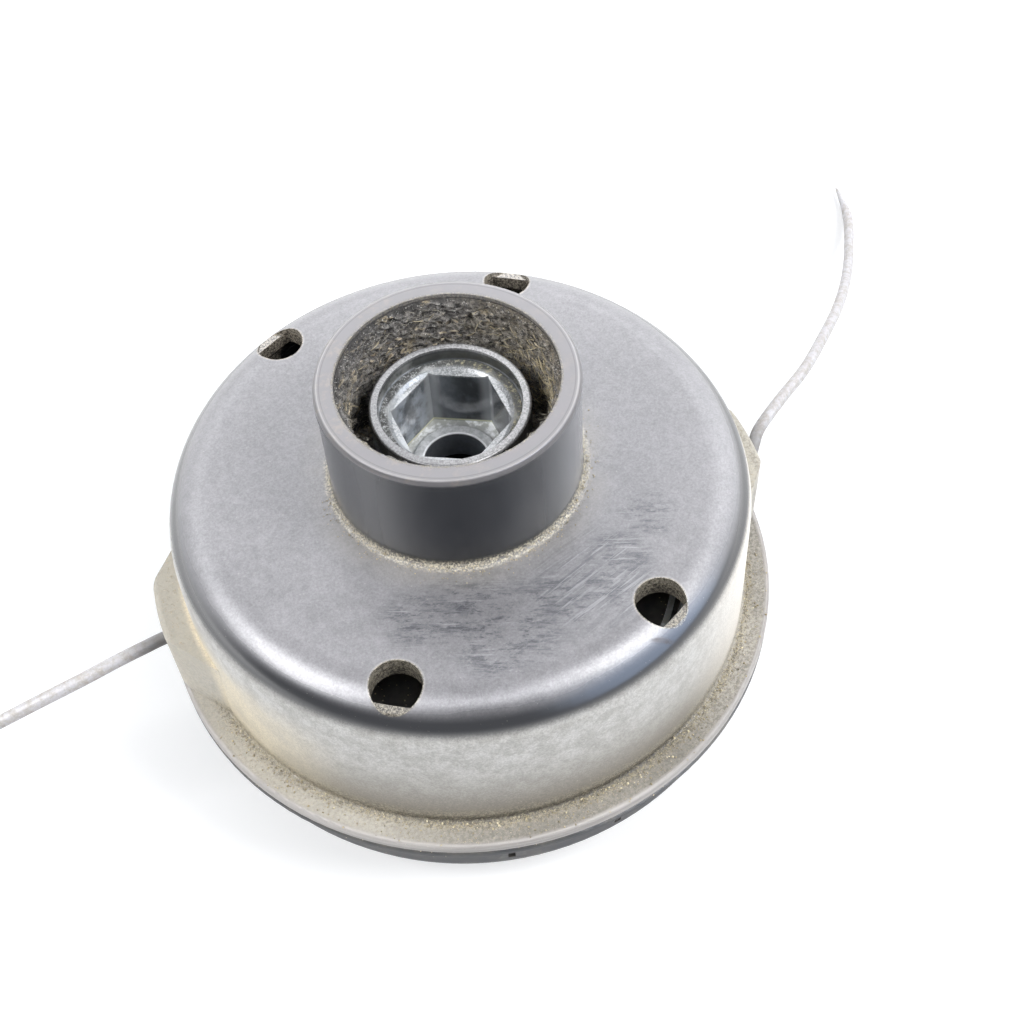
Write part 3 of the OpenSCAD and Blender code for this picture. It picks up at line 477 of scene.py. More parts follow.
def dusty_wall(tree, place, zones, grains, colour, rough):
    """Dust on the wall and the flange, with grains, the wall's right side painted paler where light falls on it, and at
    the feet of the collar and the wall dark lines of soil and painted shade.
    """
    height, radius, clouds = zones["height"], zones["radius"], grains["clouds"]
    side = add(tree, "SeparateXYZ", {"Vector": place}).outputs["X"]
    mottle = slope(tree, grains["blotches"], 0.37, 0.63)
    fine = slope(tree, grains["fine"], 0.34, 0.66)
    dust = tint(tree, slope(tree, height, FLANGE_TOP + 0.001, FLANGE_TOP + 0.020), (0.245, 0.220, 0.180),
                (0.57, 0.565, 0.55))
    dust = tint(tree, times(tree, mottle, 0.50), dust, (0.235, 0.220, 0.195))
    beige = times(tree, slope(tree, side, -0.030, -0.045), slope(tree, height, 0.054, 0.044))
    dust = tint(tree, times(tree, beige, slope(tree, clouds, 0.3, 0.6, 0.55, 0.95)), dust, (0.74, 0.66, 0.50))
    # Painted light: the wall's right side is painted much paler, where the right lamp lights it strongly.
    dust = tint(tree, slope(tree, side, 0.022, 0.045, 0.0, 0.95), dust, (0.93, 0.885, 0.81))
    film = times(tree, zones["wall"], slope(tree, fine, 0, 1, 0.70, 0.98))
    colour = tint(tree, film, colour, dust)
    rough = calc(tree, "ADD", rough, times(tree, film, 0.30))

    flange_dust = add(tree, "Group", {"Amount": 0.95, "Upward": 0.5}, node_tree=DUST)
    grit = slope(tree, grains["coarse"], 0.393, 0.607)
    soil = tint(tree, slope(tree, clouds, 0.35, 0.65, 0.3, 0.7), (0.105, 0.098, 0.084), (0.20, 0.187, 0.162))
    soil = tint(tree, times(tree, grit, slope(tree, clouds, 0.3, 0.7, 0.55, 0.95)), soil, (0.44, 0.415, 0.37))
    front = slope(tree, add(tree, "SeparateXYZ", {"Vector": place}).outputs["Y"], -0.036, -0.050)
    soil = tint(tree, times(tree, front, 0.50), soil, (0.115, 0.107, 0.090))
    soil = tint(tree, slope(tree, side, -0.010, -0.038, 0.0, 0.55), soil, (0.50, 0.475, 0.42))
    on_ledge = slope(tree, height, LEDGE_TOP - 0.006, LEDGE_TOP - 0.001)
    soil = tint(tree, times(tree, on_ledge, slope(tree, grit, 0, 1, 0.35, 0.85)), soil, (0.42, 0.395, 0.34))
    covered = times(tree, zones["flange"], slope(tree, flange_dust.outputs["Haze"], 0, 1, 0.60, 0.97))
    colour = tint(tree, covered, colour, soil)
    turned = add(tree, "CombineXYZ", {"X": radius, "Y": height, "Z": calc(tree, "MULTIPLY", side, 0.02)}).outputs[0]
    rings = slope(tree, grain(tree, turned, 0.00050, 3, 0.6), 0.35, 0.65)
    band = tint(tree, rings, (0.27, 0.255, 0.245), (0.40, 0.38, 0.37))
    colour = tint(tree, times(tree, zones["rim"], 0.90), colour, band)
    rough = calc(tree, "ADD", rough, times(tree, covered, 0.25))

    foot = times(tree, slope(tree, radius, COLLAR_R + 0.0016, COLLAR_R + 0.0002), slope(tree, radius, COLLAR_R - 0.0006, COLLAR_R - 0.0003),
                 slope(tree, height, DOME_TOP + 0.0022, DOME_TOP + 0.0006), slope(tree, height, 0.0590, 0.0600))
    corner = times(tree, between(tree, radius, WALL_R - 0.0006, WALL_R + 0.0005, 0.0004),
                   slope(tree, height, FLANGE_TOP + 0.0020, FLANGE_TOP + 0.0006))
    about = times(tree, between(tree, radius, WALL_R - 0.0006, WALL_R + 0.0016, 0.0009),
                  slope(tree, height, FLANGE_TOP + 0.0042, FLANGE_TOP + 0.0008))
    ragged = slope(tree, grains["coarse"], 0.355, 0.541)
    fuzz = slope(tree, grains["fine"], 0.433, 0.612)
    settled = times(tree, calc(tree, "MAXIMUM", foot, about), fuzz)
    # A dark band where the collar meets the dome: soil, and painted shade in that corner.
    colour = tint(tree, times(tree, foot, 0.75), colour, (0.085, 0.080, 0.070))
    dusty = times(tree, near(tree, zones["flat"], (0, 0, 0), 0.0275, 0.0060), zones["dome"], slope(tree, clouds, 0.35, 0.6, 0.10, 0.40))
    colour = tint(tree, dusty, colour, (0.27, 0.255, 0.225))
    colour = tint(tree, times(tree, foot, fuzz, slope(tree, ragged, 0, 1, 0.4, 1.0)), colour, (0.60, 0.54, 0.40))
    colour = tint(tree, times(tree, about, slope(tree, ragged, 1, 0, 0.0, 0.7)), colour, (0.075, 0.064, 0.042))
    colour = tint(tree, times(tree, about, fuzz, slope(tree, ragged, 0, 1, 0.10, 0.75)), colour, (0.56, 0.49, 0.34))
    # The dark line in the corner at the wall's foot, strongest at the front: soil, and painted shade in that corner.
    corner = times(tree, corner, slope(tree, front, 0, 1, 0.35, 1.0))
    colour = tint(tree, times(tree, corner, slope(tree, fuzz, 0, 1, 0.95, 0.55)), colour, (0.040, 0.034, 0.022))
    low = times(tree, zones["wall"], slope(tree, height, FLANGE_TOP + 0.012, FLANGE_TOP))
    many = calc(tree, "ADD", grains["fine"], calc(tree, "MULTIPLY", low, 0.07))
    specks = times(tree, slope(tree, many, 0.70, 0.75), slope(tree, radius, COLLAR_R - 0.001, COLLAR_R))
    colour = tint(tree, times(tree, specks, 0.7), colour, (0.54, 0.50, 0.42))
    on_flange = calc(tree, "SUBTRACT", zones["flange"], zones["rim"])
    crumbs = times(tree, slope(tree, grains["fine"], 0.60, 0.66), on_flange)
    colour = tint(tree, times(tree, crumbs, 0.8), colour, TAN_GRAIN)
    crumbs = calc(tree, "MAXIMUM", crumbs, times(tree, specks, low))
    return colour, rough, calc(tree, "ADD", calc(tree, "MULTIPLY", crumbs, 0.7), calc(tree, "MULTIPLY", settled, 0.5))


def greasy_socket(tree, place, zones, grains, colour, rough):
    """Haze on the collar's lip with a painted highlight at its edge, painted sheen on the collar's sides, and old
    grease in the hexagon socket, smeared pale on its left walls, with painted highlights at its corners.
    """
    clouds, height = grains["clouds"], zones["height"]
    side = add(tree, "SeparateXYZ", {"Vector": place}).outputs["X"]
    fuzz = slope(tree, grains["fine"], 0.41, 0.612)
    # Painted sheen: the collar's sides, most of all the right one, are painted lighter where they would reflect the
    # bright lamps.
    collar_side_sheen = calc(tree, "MAXIMUM", slope(tree, side, 0.006, 0.0195), times(tree, slope(tree, side, -0.012, -0.0195), 0.22))
    colour = tint(tree, times(tree, zones["collar"], 0.95), colour, (0.013, 0.015, 0.019))
    colour = tint(tree, times(tree, zones["collar"], collar_side_sheen, 0.95), colour, (0.26, 0.265, 0.28))
    lip_haze = times(tree, zones["lip"], slope(tree, clouds, 0.2, 0.7, 0.80, 0.95))
    colour = tint(tree, lip_haze, colour, (0.195, 0.189, 0.200))
    worn = times(tree, zones["lip"], slope(tree, grains["blotches"], 0.479, 0.687),
                 slope(tree, side, 0.004, -0.010, 0.35, 1.0))
    colour = tint(tree, times(tree, worn, 0.50), colour, (0.31, 0.27, 0.225))
    lines = times(tree, zones["lip"], between(tree, zones["radius"], 0.01975, 0.01990, 0.0001))
    colour = tint(tree, times(tree, lines, 0.55), colour, (0.060, 0.060, 0.064))
    # Painted highlight: a thin pale ring where the lip's flat top turns into its rounded outer edge.
    bright = times(tree, zones["lip"], between(tree, zones["radius"], 0.02015, 0.02035, 0.0001))
    colour = tint(tree, times(tree, bright, 0.5), colour, (0.42, 0.41, 0.41))
    inner = times(tree, zones["lip"], slope(tree, zones["radius"], COLLAR_BORE + 0.00045, COLLAR_BORE + 0.0001), fuzz)
    colour = tint(tree, times(tree, inner, 0.85), colour, (0.44, 0.40, 0.32))
    rough = calc(tree, "ADD", rough, times(tree, lip_haze, 0.17))
    speckle = slope(tree, grains["fine"], 0.40, 0.60, 0.35, 0.95)
    slope_colour = tint(tree, slope(tree, side, -0.010, 0.006), (0.20, 0.20, 0.208), (0.31, 0.308, 0.315))
    colour = tint(tree, times(tree, zones["boss rim"], speckle), colour, slope_colour)

    below = times(tree, zones["socket"], slope(tree, height, BOSS_TOP - 0.0002, BOSS_TOP - 0.0012))
    smears = slope(tree, grain(tree, place, 0.0034, 5, 0.62, (1.0, 1.0, 0.7)), 0.38, 0.64)
    leftward = slope(tree, side, 0.001, -0.006, 0.15, 1.0)
    low = slope(tree, height, HEX_MOUTH + 0.0004, HEX_MOUTH - 0.0004)
    grease = tint(tree, times(tree, smears, leftward), (0.075, 0.083, 0.093), (0.36, 0.395, 0.445))
    thin = tint(tree, times(tree, smears, leftward), (0.042, 0.044, 0.042), (0.20, 0.205, 0.205))
    grease = tint(tree, low, thin, grease)
    rightward = times(tree, slope(tree, side, 0.0015, 0.0045), low)
    grease = tint(tree, times(tree, rightward, slope(tree, smears, 0, 1, 0.85, 0.45)), grease, (0.030, 0.033, 0.036))
    # Painted highlight: the socket's walls and floor are painted lighter near the hexagon's six corners, standing for
    # highlights on their rounding.
    corners = None
    for k in range(6):
        turn = HEX_TURN + k * math.pi / 3
        spot = (HEX_R * math.cos(turn), HEX_R * math.sin(turn), 0)
        corner = near(tree, zones["flat"], spot, 0.0021, 0.0016)
        corners = calc(tree, "MAXIMUM", corners, corner) if corners else corner
    grease = tint(tree, times(tree, corners, low, 0.7), grease, (0.30, 0.315, 0.33))
    walls = slope(tree, zones["radius"], 0.0080, 0.0084)
    foot = times(tree, walls, slope(tree, height, HEX_FLOOR + 0.0007, HEX_FLOOR + 0.0004))
    deep = add(tree, "SeparateXYZ", {"Vector": place}).outputs["Y"]
    seam = tint(tree, slope(tree, deep, 0.003, 0.006), (0.30, 0.31, 0.31), (0.62, 0.62, 0.42))
    grease = tint(tree, times(tree, foot, 0.9), grease, seam)
    floor = slope(tree, height, HEX_FLOOR + 0.0003, HEX_FLOOR + 0.0001)
    lumps = slope(tree, grain(tree, place, 0.0016, 4, 0.6), 0.42, 0.60)
    grease = tint(tree, times(tree, floor, 0.95), grease, (0.42, 0.43, 0.42))
    # Grease lumps at the floor's corners, painted near white as wet highlights on them.
    grease = tint(tree, times(tree, floor, lumps, slope(tree, zones["radius"], 0.0068, 0.0082)), grease, (0.86, 0.88, 0.90))
    golden = slope(tree, side, 0.001, 0.005)
    crumb = tint(tree, golden, (0.72, 0.735, 0.75), (0.50, 0.46, 0.30))
    reach = None
    for k in range(3):
        turn = HEX_TURN + math.pi / 6 + k * math.pi / 3
        along = add(tree, "VectorMath", {0: place, 1: (math.cos(turn), math.sin(turn), 0)}, operation="DOT_PRODUCT")
        along = calc(tree, "ABSOLUTE", along.outputs["Value"])
        reach = calc(tree, "MAXIMUM", reach, along) if reach else along
    by_edge = times(tree, slope(tree, reach, HEX_FLAT + 0.0013, HEX_FLAT + 0.0004), slope(tree, golden, 0, 1, 1.0, 0.45))
    wet = tint(tree, by_edge, (0.060, 0.062, 0.058), (0.50, 0.515, 0.53))
    sparse = slope(tree, grains["coarse"], 0.50, 0.631)
    ledge = tint(tree, calc(tree, "MAXIMUM", sparse, times(tree, by_edge, fuzz)), wet, crumb)
    grease = tint(tree, zones["ledge"], grease, ledge)
    mouth = times(tree, between(tree, height, HEX_MOUTH - 0.0010, HEX_MOUTH - 0.0001, 0.0003), slope(tree, zones["radius"], 0.0105, 0.0099))
    grease = tint(tree, times(tree, mouth, slope(tree, fuzz, 0, 1, 0.3, 0.9)), grease, (0.46, 0.475, 0.49))
    colour = tint(tree, times(tree, below, 0.95), colour, grease)
    rough = calc(tree, "ADD", rough, times(tree, zones["ledge"], 0.35))
    return colour, rough, calc(tree, "MULTIPLY", calc(tree, "MAXIMUM", inner, zones["ledge"]), fuzz)


def housing_material():
    """Black nylon, hazed and rubbed on the dome, dusty on the wall and flange, greasy in the socket, with painted
    highlights, sheen and shade in places.
    """
    material = new_material("housing_nylon")
    tree = material.node_tree
    place = add(tree, "TexCoord").outputs["Object"]
    zones = housing_zones(tree, place)
    skin = add(tree, "Group", {"Grain": 0.00030}, node_tree=SKIN)
    grains = {"clouds": skin.outputs["Clouds"], "fine": grain(tree, place, 0.00038, 3, 0.85),
              "coarse": grain(tree, place, 0.0007, 4, 0.9), "blotches": grain(tree, place, 0.0033, 6, 0.8)}
    colour, rough, strokes, shine = hazed_dome(tree, place, zones, grains)
    colour, rough, grit = dusty_wall(tree, place, zones, grains, colour, rough)
    colour, rough, lumps = greasy_socket(tree, place, zones, grains, colour, rough)
    shine = calc(tree, "SUBTRACT", shine, times(tree, zones["lip"], 0.10))

    tan = slope(tree, grains["fine"], 0.411, 0.611)
    side_on = slope(tree, zones["height"], DOME_TOP - 0.0005, DOME_TOP - 0.0035, 1.0, 0.60)
    behind = slope(tree, add(tree, "SeparateXYZ", {"Vector": place}).outputs["Y"], -0.01, 0.01)
    soil = tint(tree, behind, (0.40, 0.365, 0.295), (0.50, 0.45, 0.375))
    inside = tint(tree, times(tree, tan, side_on), (0.055, 0.050, 0.045), soil)
    colour = tint(tree, zones["hole"], colour, inside)

    relief = calc(tree, "ADD", calc(tree, "MULTIPLY", skin.outputs["Height"], 0.08), grit)
    relief = calc(tree, "SUBTRACT", relief, calc(tree, "MULTIPLY", strokes, 0.10))
    relief = calc(tree, "ADD", relief, calc(tree, "MULTIPLY", lumps, 1.2))
    outward = add(tree, "VectorMath", {0: zones["flat"]}, operation="NORMALIZE").outputs[0]
    plain = add(tree, "NewGeometry").outputs["Normal"]
    turned = add(tree, "Mix", {0: zones["collar"], 4: plain, 5: outward}, data_type="VECTOR").outputs[1]
    finish(tree, colour, rough, bumps(tree, relief, 0.00012, turned), IOR=1.55, **{"Specular IOR Level": shine})
    return material


finish_node("housing", housing_material())


# Packed clippings.
# Dry grass and soil that the turning collar has packed round the socket boss. They line the well as
# a ragged crust with fibres and straws standing out of it, and leave two gaps low at the sides that are
# painted dark as shade.
WELL_FLOOR = 0.0599
CRUST_TOP = 0.0812
GAP_TURNS = (math.radians(144), math.radians(3))
clippings_chance = random.Random(11)


def new_piece(name, shape, material, body):
    """A piece from a bmesh, with its material, on its body."""
    mesh = bpy.data.meshes.new(name)
    shape.to_mesh(mesh)
    shape.free()
    mesh.materials.append(material)
    piece = bpy.data.objects.new(name, mesh)
    bpy.context.scene.collection.objects.link(piece)
    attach(piece, body)
    return piece


def turn_profile(points, steps=128, closed=False):
    """A bmesh turned about the head's axis from (radius, height) points."""
    shape = bmesh.new()
    corners = [shape.verts.new((radius, 0, height)) for radius, height in points]
    edges = [shape.edges.new(pair) for pair in zip(corners, corners[1:])]
    if closed:
        edges.append(shape.edges.new((corners[-1], corners[0])))
    bmesh.ops.spin(shape, geom=corners + edges, cent=(0, 0, 0), axis=(0, 0, 1), angle=math.tau,
                   steps=steps, use_merge=True, use_duplicate=False)
    bmesh.ops.remove_doubles(shape, verts=shape.verts[:], dist=1e-6)
    bmesh.ops.recalc_face_normals(shape, faces=shape.faces[:])
    return shape


def gap_here(turn, height):
    """How far a place on the well's wall lies in one of the gaps, from 0 to 1."""
    nearest = min(abs(math.remainder(turn - gap, math.tau)) for gap in GAP_TURNS)
    across = max(0.0, 1 - nearest / 0.30)
    upward = max(0.0, 1 - max(0.0, height - WELL_FLOOR - 0.006) / 0.004)
    return min(1.0, across * 2.2) * min(1.0, upward * 1.6)


def crust_material():
    """Soil and grass crushed together, with pale crumbs and tan fibres in tufts, and painted shade in its hollows and
    gaps.
    """
    material = new_material("packed_clippings")
    tree = material.node_tree
    place = add(tree, "TexCoord").outputs["Object"]
    flat = add(tree, "VectorMath", {0: place, 1: (1, 1, 0)}, operation="MULTIPLY").outputs[0]
    radius = add(tree, "VectorMath", {0: flat}, operation="LENGTH").outputs["Value"]
    crumbs = grain(tree, place, 0.00055, 6, 0.9, (0.6, 0.6, 1.4))
    # Painted shade: where the crust is thin against the collar's wall, in its hollows and its two gaps, it is painted
    # near black.
    painted_hollow_shade = slope(tree, radius, 0.01655, 0.01735)
    right = slope(tree, add(tree, "SeparateXYZ", {"Vector": place}).outputs["X"], 0.004, 0.015)
    colour = tint(tree, slope(tree, crumbs, 0.40, 0.60), (0.034, 0.033, 0.033), (0.50, 0.475, 0.45))
    colour = tint(tree, times(tree, painted_hollow_shade, 0.85), colour, (0.022, 0.020, 0.018))
    tufts = times(tree, slope(tree, grain(tree, place, 0.0026, 4, 0.7, (0.6, 0.6, 1.5)), 0.55, 0.63), slope(tree, crumbs, 0.40, 0.55))
    tufts = calc(tree, "MAXIMUM", tufts, times(tree, right, slope(tree, crumbs, 0.44, 0.58), 0.5))
    colour = tint(tree, times(tree, tufts, 0.8), colour, (0.50, 0.42, 0.29))
    specks = add(tree, "Group", {"Amount": 1.0, "Grain": 0.00028, "Upward": 0.0}, node_tree=DUST)
    colour = tint(tree, times(tree, specks.outputs["Grains"], 0.9), colour, (0.70, 0.68, 0.64))
    finish(tree, colour, 0.75, bumps(tree, crumbs, 0.0006))
    return material


crust_profile = [(0.01292, 0.0668), (0.01320, 0.0650), (0.01345, 0.0630), (0.01380, 0.0617), (0.01440, 0.0611),
                 (0.01540, 0.0609), (0.01610, 0.0614), (0.01650, 0.0625)]
crust_profile += [(0.01640 + 0.00065 * step / 50, 0.0632 + step * (CRUST_TOP - 0.0632) / 50) for step in range(51)]
crust_profile += [(COLLAR_BORE - 0.00004, CRUST_TOP + 0.0006), (COLLAR_BORE - 0.00004, WELL_FLOOR + 0.00005),
                  (BOSS_R + 0.00004, WELL_FLOOR + 0.00005)]
crust = turn_profile(crust_profile, 360, closed=True)
for corner in crust.verts:
    radius = math.hypot(corner.co.x, corner.co.y)
    back = radius > COLLAR_BORE - 0.00008 or radius < BOSS_R + 0.00004 or corner.co.z < WELL_FLOOR + 0.0001
    if back:
        continue
    turn = math.atan2(corner.co.y, corner.co.x)
    clump = noise.fractal(Vector((turn * 7, corner.co.z * 1100, radius * 300)), 0.7, 2.0, 3)
    rough_here = noise.fractal(corner.co * 1500, 0.8, 2.0, 3) * 0.00022 + clump * 0.00062
    wall_side = radius > 0.0155
    if wall_side:
        reach = max(0.00012, COLLAR_BORE - radius + rough_here) * (1 - gap_here(turn, corner.co.z))
        goal = COLLAR_BORE - max(reach, 0.00006)
    else:
        reach = max(0.0001, radius - BOSS_R + rough_here) * (1 - 0.9 * gap_here(turn, corner.co.z))
        goal = BOSS_R + max(reach, 0.00006)
    corner.co.x *= goal / radius
    corner.co.y *= goal / radius
    if corner.co.z < 0.0650:
        corner.co.z += max(-0.0006, rough_here * 1.6)
    elif corner.co.z > CRUST_TOP - 0.001:
        corner.co.z += max(-0.0006, min(0.0007, noise.noise(corner.co * 700) * 0.0011))
packed = crust_material()
new_piece("packed_clippings", crust, packed, "head")


def strand_object(name, strands, thick, material, sides=0):
    """Many thin strands, each a short crooked run of points, as one piece."""
    curve = bpy.data.curves.new(name, "CURVE")
    curve.dimensions = "3D"
    curve.bevel_depth = thick / 2
    curve.bevel_resolution = sides
    curve.use_fill_caps = True
    for points in strands:
        spline = curve.splines.new("POLY")
        spline.points.add(len(points) - 1)
        for i, (spot, point) in enumerate(zip(spline.points, points)):
            spot.co = (*point, 1)
            spot.radius = 1.0 - 0.6 * i / len(points)
    piece = bpy.data.objects.new(name, curve)
    bpy.context.scene.collection.objects.link(piece)
    curve.materials.append(material)
    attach(piece, "head")
    return piece


def fibre_material(name, dark, pale):
    """Dry fibres, each its own shade."""
    material = new_material(name)
    tree = material.node_tree
    place = add(tree, "TexCoord").outputs["Object"]
    shade = slope(tree, grain(tree, place, 0.0012, 3, 0.8), 0.32, 0.66)
    finish(tree, tint(tree, shade, dark, pale), 0.75)
    return material


def crooked(start, way, length, bend, chance, steps=4):
    """Points of a strand that starts one way and wanders."""
    points = [Vector(start)]
    way = way.normalized()
    for _ in range(steps):
        way = (way + Vector([chance.gauss(0, bend) for _ in range(3)])).normalized()
        points.append(points[-1] + way * length / steps)
    return points


well_strands = []
for _ in range(1700):
    turn = clippings_chance.uniform(0, math.tau)
    height = clippings_chance.triangular(WELL_FLOOR + 0.0012, CRUST_TOP + 0.0005, CRUST_TOP - 0.004)
    if gap_here(turn, height) > 0.3:
        continue
    outward = Vector((math.cos(turn), math.sin(turn), 0))
    root = outward * (COLLAR_BORE - clippings_chance.uniform(0.0004, 0.0016)) + Vector((0, 0, height))
    along = Vector((-outward.y, outward.x, 0)) * clippings_chance.choice((-1, 1))
    way = along * 0.9 - outward * clippings_chance.uniform(0.05, 0.55) + Vector((0, 0, clippings_chance.gauss(0, 0.35)))
    strand = crooked(root, way, clippings_chance.uniform(0.0005, 0.0020), 0.45, clippings_chance)
    if all(BOSS_R + 0.0002 < math.hypot(p.x, p.y) < COLLAR_BORE - 0.00005 and p.z < COLLAR_TOP - 0.0008 for p in strand):
        well_strands.append(strand)
strand_object("clippings_fibres", well_strands, 0.00013, fibre_material("fibres", (0.060, 0.056, 0.050), (0.42, 0.385, 0.32)))
straws = []
for _ in range(230):
    turn = clippings_chance.gauss(0.10, 0.40)
    if clippings_chance.random() < 0.25:
        turn = clippings_chance.uniform(0, math.tau)
    height = clippings_chance.triangular(WELL_FLOOR + 0.002, CRUST_TOP, CRUST_TOP - 0.006)
    if gap_here(turn, height) > 0.3:
        continue
    outward = Vector((math.cos(turn), math.sin(turn), 0))
    root = outward * (COLLAR_BORE - clippings_chance.uniform(0.0009, 0.0018)) + Vector((0, 0, height))
    along = Vector((-outward.y, outward.x, clippings_chance.gauss(0, 0.7))) * clippings_chance.choice((-1, 1))
    strand = crooked(root, along - outward * 0.15, clippings_chance.uniform(0.0008, 0.0026), 0.20, clippings_chance)
    if all(BOSS_R + 0.0003 < math.hypot(p.x, p.y) < COLLAR_BORE - 0.0001 and p.z < COLLAR_TOP - 0.001 for p in strand):
        straws.append(strand)
strand_object("clippings_straws", straws, 0.00018, fibre_material("straws", (0.30, 0.25, 0.15), (0.66, 0.57, 0.39)))


def chip(shape, spot, outward, size, chance):
    """A thin torn chip of dry grass, lying roughly along the wall."""
    along = Vector((-outward.y, outward.x, chance.gauss(0, 0.5))).normalized()
    across = along.cross(outward).normalized()
    ring = []
    for k in range(7):
        turn = math.tau * k / 7
        reach = chance.uniform(0.6, 1.2)
        ring.append(spot + along * (math.cos(turn) * size * reach) + across * (math.sin(turn) * size * 0.35 * reach)
                    - outward * chance.uniform(-0.25, 0.25) * size)
    leaf = shape.faces.new([shape.verts.new(corner) for corner in ring])
    raised = bmesh.ops.extrude_face_region(shape, geom=[leaf], use_keep_orig=True)
    upper = [part for part in raised["geom"] if isinstance(part, bmesh.types.BMVert)]
    bmesh.ops.translate(shape, verts=upper, vec=outward * -0.00006)


chips = bmesh.new()
for _ in range(60):
    turn = clippings_chance.gauss(1.9, 0.75)
    outward = Vector((math.cos(turn), math.sin(turn), 0))
    height = clippings_chance.triangular(0.0700, CRUST_TOP - 0.0005, 0.0735)
    spot = outward * (COLLAR_BORE - clippings_chance.uniform(0.0012, 0.0017)) + Vector((0, 0, height))
    chip(chips, spot, outward, clippings_chance.uniform(0.0002, 0.0007), clippings_chance)
bmesh.ops.recalc_face_normals(chips, faces=chips.faces[:])
new_piece("clippings_chips", chips, fibre_material("chips", (0.24, 0.19, 0.13), (0.62, 0.54, 0.42)), "head")


# Loose dust.
# Crumbs of dry grass that lie in the corners where nothing rubs them off: round the collar's foot, along
# the foot of the wall and on the flange, but not on its ledges.
dust_chance = random.Random(23)


def crumbs(name, places, material, body="head"):
    """Small uneven crumbs, each a squashed and turned icosphere, as one piece."""
    shape = bmesh.new()
    for spot, size in places:
        stretch = Matrix.Diagonal([size * dust_chance.uniform(0.5, 1.3) for _ in range(3)]).to_4x4()
        turned = Matrix.Rotation(dust_chance.uniform(0, math.tau), 4, Vector([dust_chance.gauss(0, 1) for _ in range(3)]))
        bmesh.ops.create_icosphere(shape, subdivisions=1, radius=0.5, matrix=Matrix.Translation(spot) @ turned @ stretch)
    return new_piece(name, shape, material, body)


foot_crumbs = []
for _ in range(650):
    turn = dust_chance.uniform(-math.pi, 0.9)
    size = dust_chance.uniform(0.00008, 0.00026)
    out = COLLAR_R + 0.0004 + abs(dust_chance.gauss(0, 0.0011))
    lift = DOME_TOP + max(0.0, 0.0012 - (out - COLLAR_R)) * 0.55
    foot_crumbs.append((Vector((out * math.cos(turn), out * math.sin(turn), lift + size * 0.2)), size))
flange_crumbs = []
for _ in range(1500):
    turn = dust_chance.uniform(-math.pi, math.pi)
    size = dust_chance.uniform(0.0001, 0.00042) * dust_chance.choice((0.6, 1.0, 1.0))
    spread = abs(dust_chance.gauss(0, 0.0016)) if dust_chance.random() < 0.7 else dust_chance.uniform(0, 0.0042)
    out = WALL_R + 0.0003 + min(spread, 0.0042)
    x, y = out * math.cos(turn), out * math.sin(turn)
    if abs(y) < 0.0150 and abs(x) > 0.03:
        continue
    flange_crumbs.append((Vector((x, y, FLANGE_TOP + size * 0.2)), size))
corner_crumbs = []
for _ in range(900):
    turn = dust_chance.uniform(-math.pi, math.pi)
    size = dust_chance.uniform(0.00010, 0.00022) * dust_chance.choice((1.0, 1.0, 1.0, 2.0))
    out = WALL_R + 0.0004 + abs(dust_chance.gauss(0, 0.0008))
    x, y = out * math.cos(turn), out * math.sin(turn)
    if abs(y) < 0.0150 and abs(x) > 0.03:
        continue
    corner_crumbs.append((Vector((x, y, FLANGE_TOP + max(0.0, WALL_R + 0.0012 - out) * 0.5 + size * 0.2)), size))
dry = fibre_material("dry_crumbs", (0.13, 0.115, 0.075), (0.52, 0.44, 0.29))
crumbs("collar_foot_dust", foot_crumbs, dry)
crumbs("flange_dust", flange_crumbs, dry)
crumbs("corner_dust", corner_crumbs, fibre_material("pale_crumbs", (0.34, 0.28, 0.17), (0.86, 0.78, 0.58)))


# Centre bush.
# A turned and zinc-plated steel bush moulded into the bottom of the socket. The bolt of the machine
# passes through it. Its collar shows as a pale ring round the hole.
def plated_material():
    """Dull zinc plate under a film of old grease, painted dark inside the bore as shade, and rubbed bright at the
    hole's edge with a painted highlight there.
    """
    material = new_material("bush_steel")
    tree = material.node_tree
    place = add(tree, "TexCoord").outputs["Object"]
    film = slope(tree, grain(tree, place, 0.0014, 5, 0.65), 0.35, 0.65)
    flat = add(tree, "VectorMath", {0: place, 1: (1, 1, 0)}, operation="MULTIPLY").outputs[0]
    radius = add(tree, "VectorMath", {0: flat}, operation="LENGTH").outputs["Value"]
    height = add(tree, "SeparateXYZ", {"Vector": place}).outputs["Z"]
    inside = times(tree, slope(tree, radius, 0.00545, 0.00535), slope(tree, height, HEX_FLOOR + 0.0005, HEX_FLOOR + 0.0002))
    edge = times(tree, slope(tree, radius, 0.00570, 0.00545), slope(tree, height, HEX_FLOOR + 0.0002, HEX_FLOOR + 0.0005))
    colour = tint(tree, film, (0.60, 0.61, 0.62), (0.34, 0.35, 0.355))
    # Rubbed metal at the hole's edge, painted near white as a rim highlight.
    colour = tint(tree, times(tree, edge, 0.8), colour, (0.90, 0.91, 0.92))
    # Painted shade: the bore is painted dark blue-black and barely metallic, for the shade deep in the hole.
    colour = tint(tree, times(tree, inside, 0.90), colour, (0.050, 0.058, 0.072))
    rough = slope(tree, film, 0, 1, 0.28, 0.5)
    metallic = calc(tree, "MULTIPLY", slope(tree, film, 0, 1, 0.6, 0.2), slope(tree, inside, 0, 1, 1.0, 0.1))
    finish(tree, colour, rough, bumps(tree, grain(tree, place, 0.0003, 3), 0.00003), metallic)
    return material


finish_node("centre_bush", plated_material())


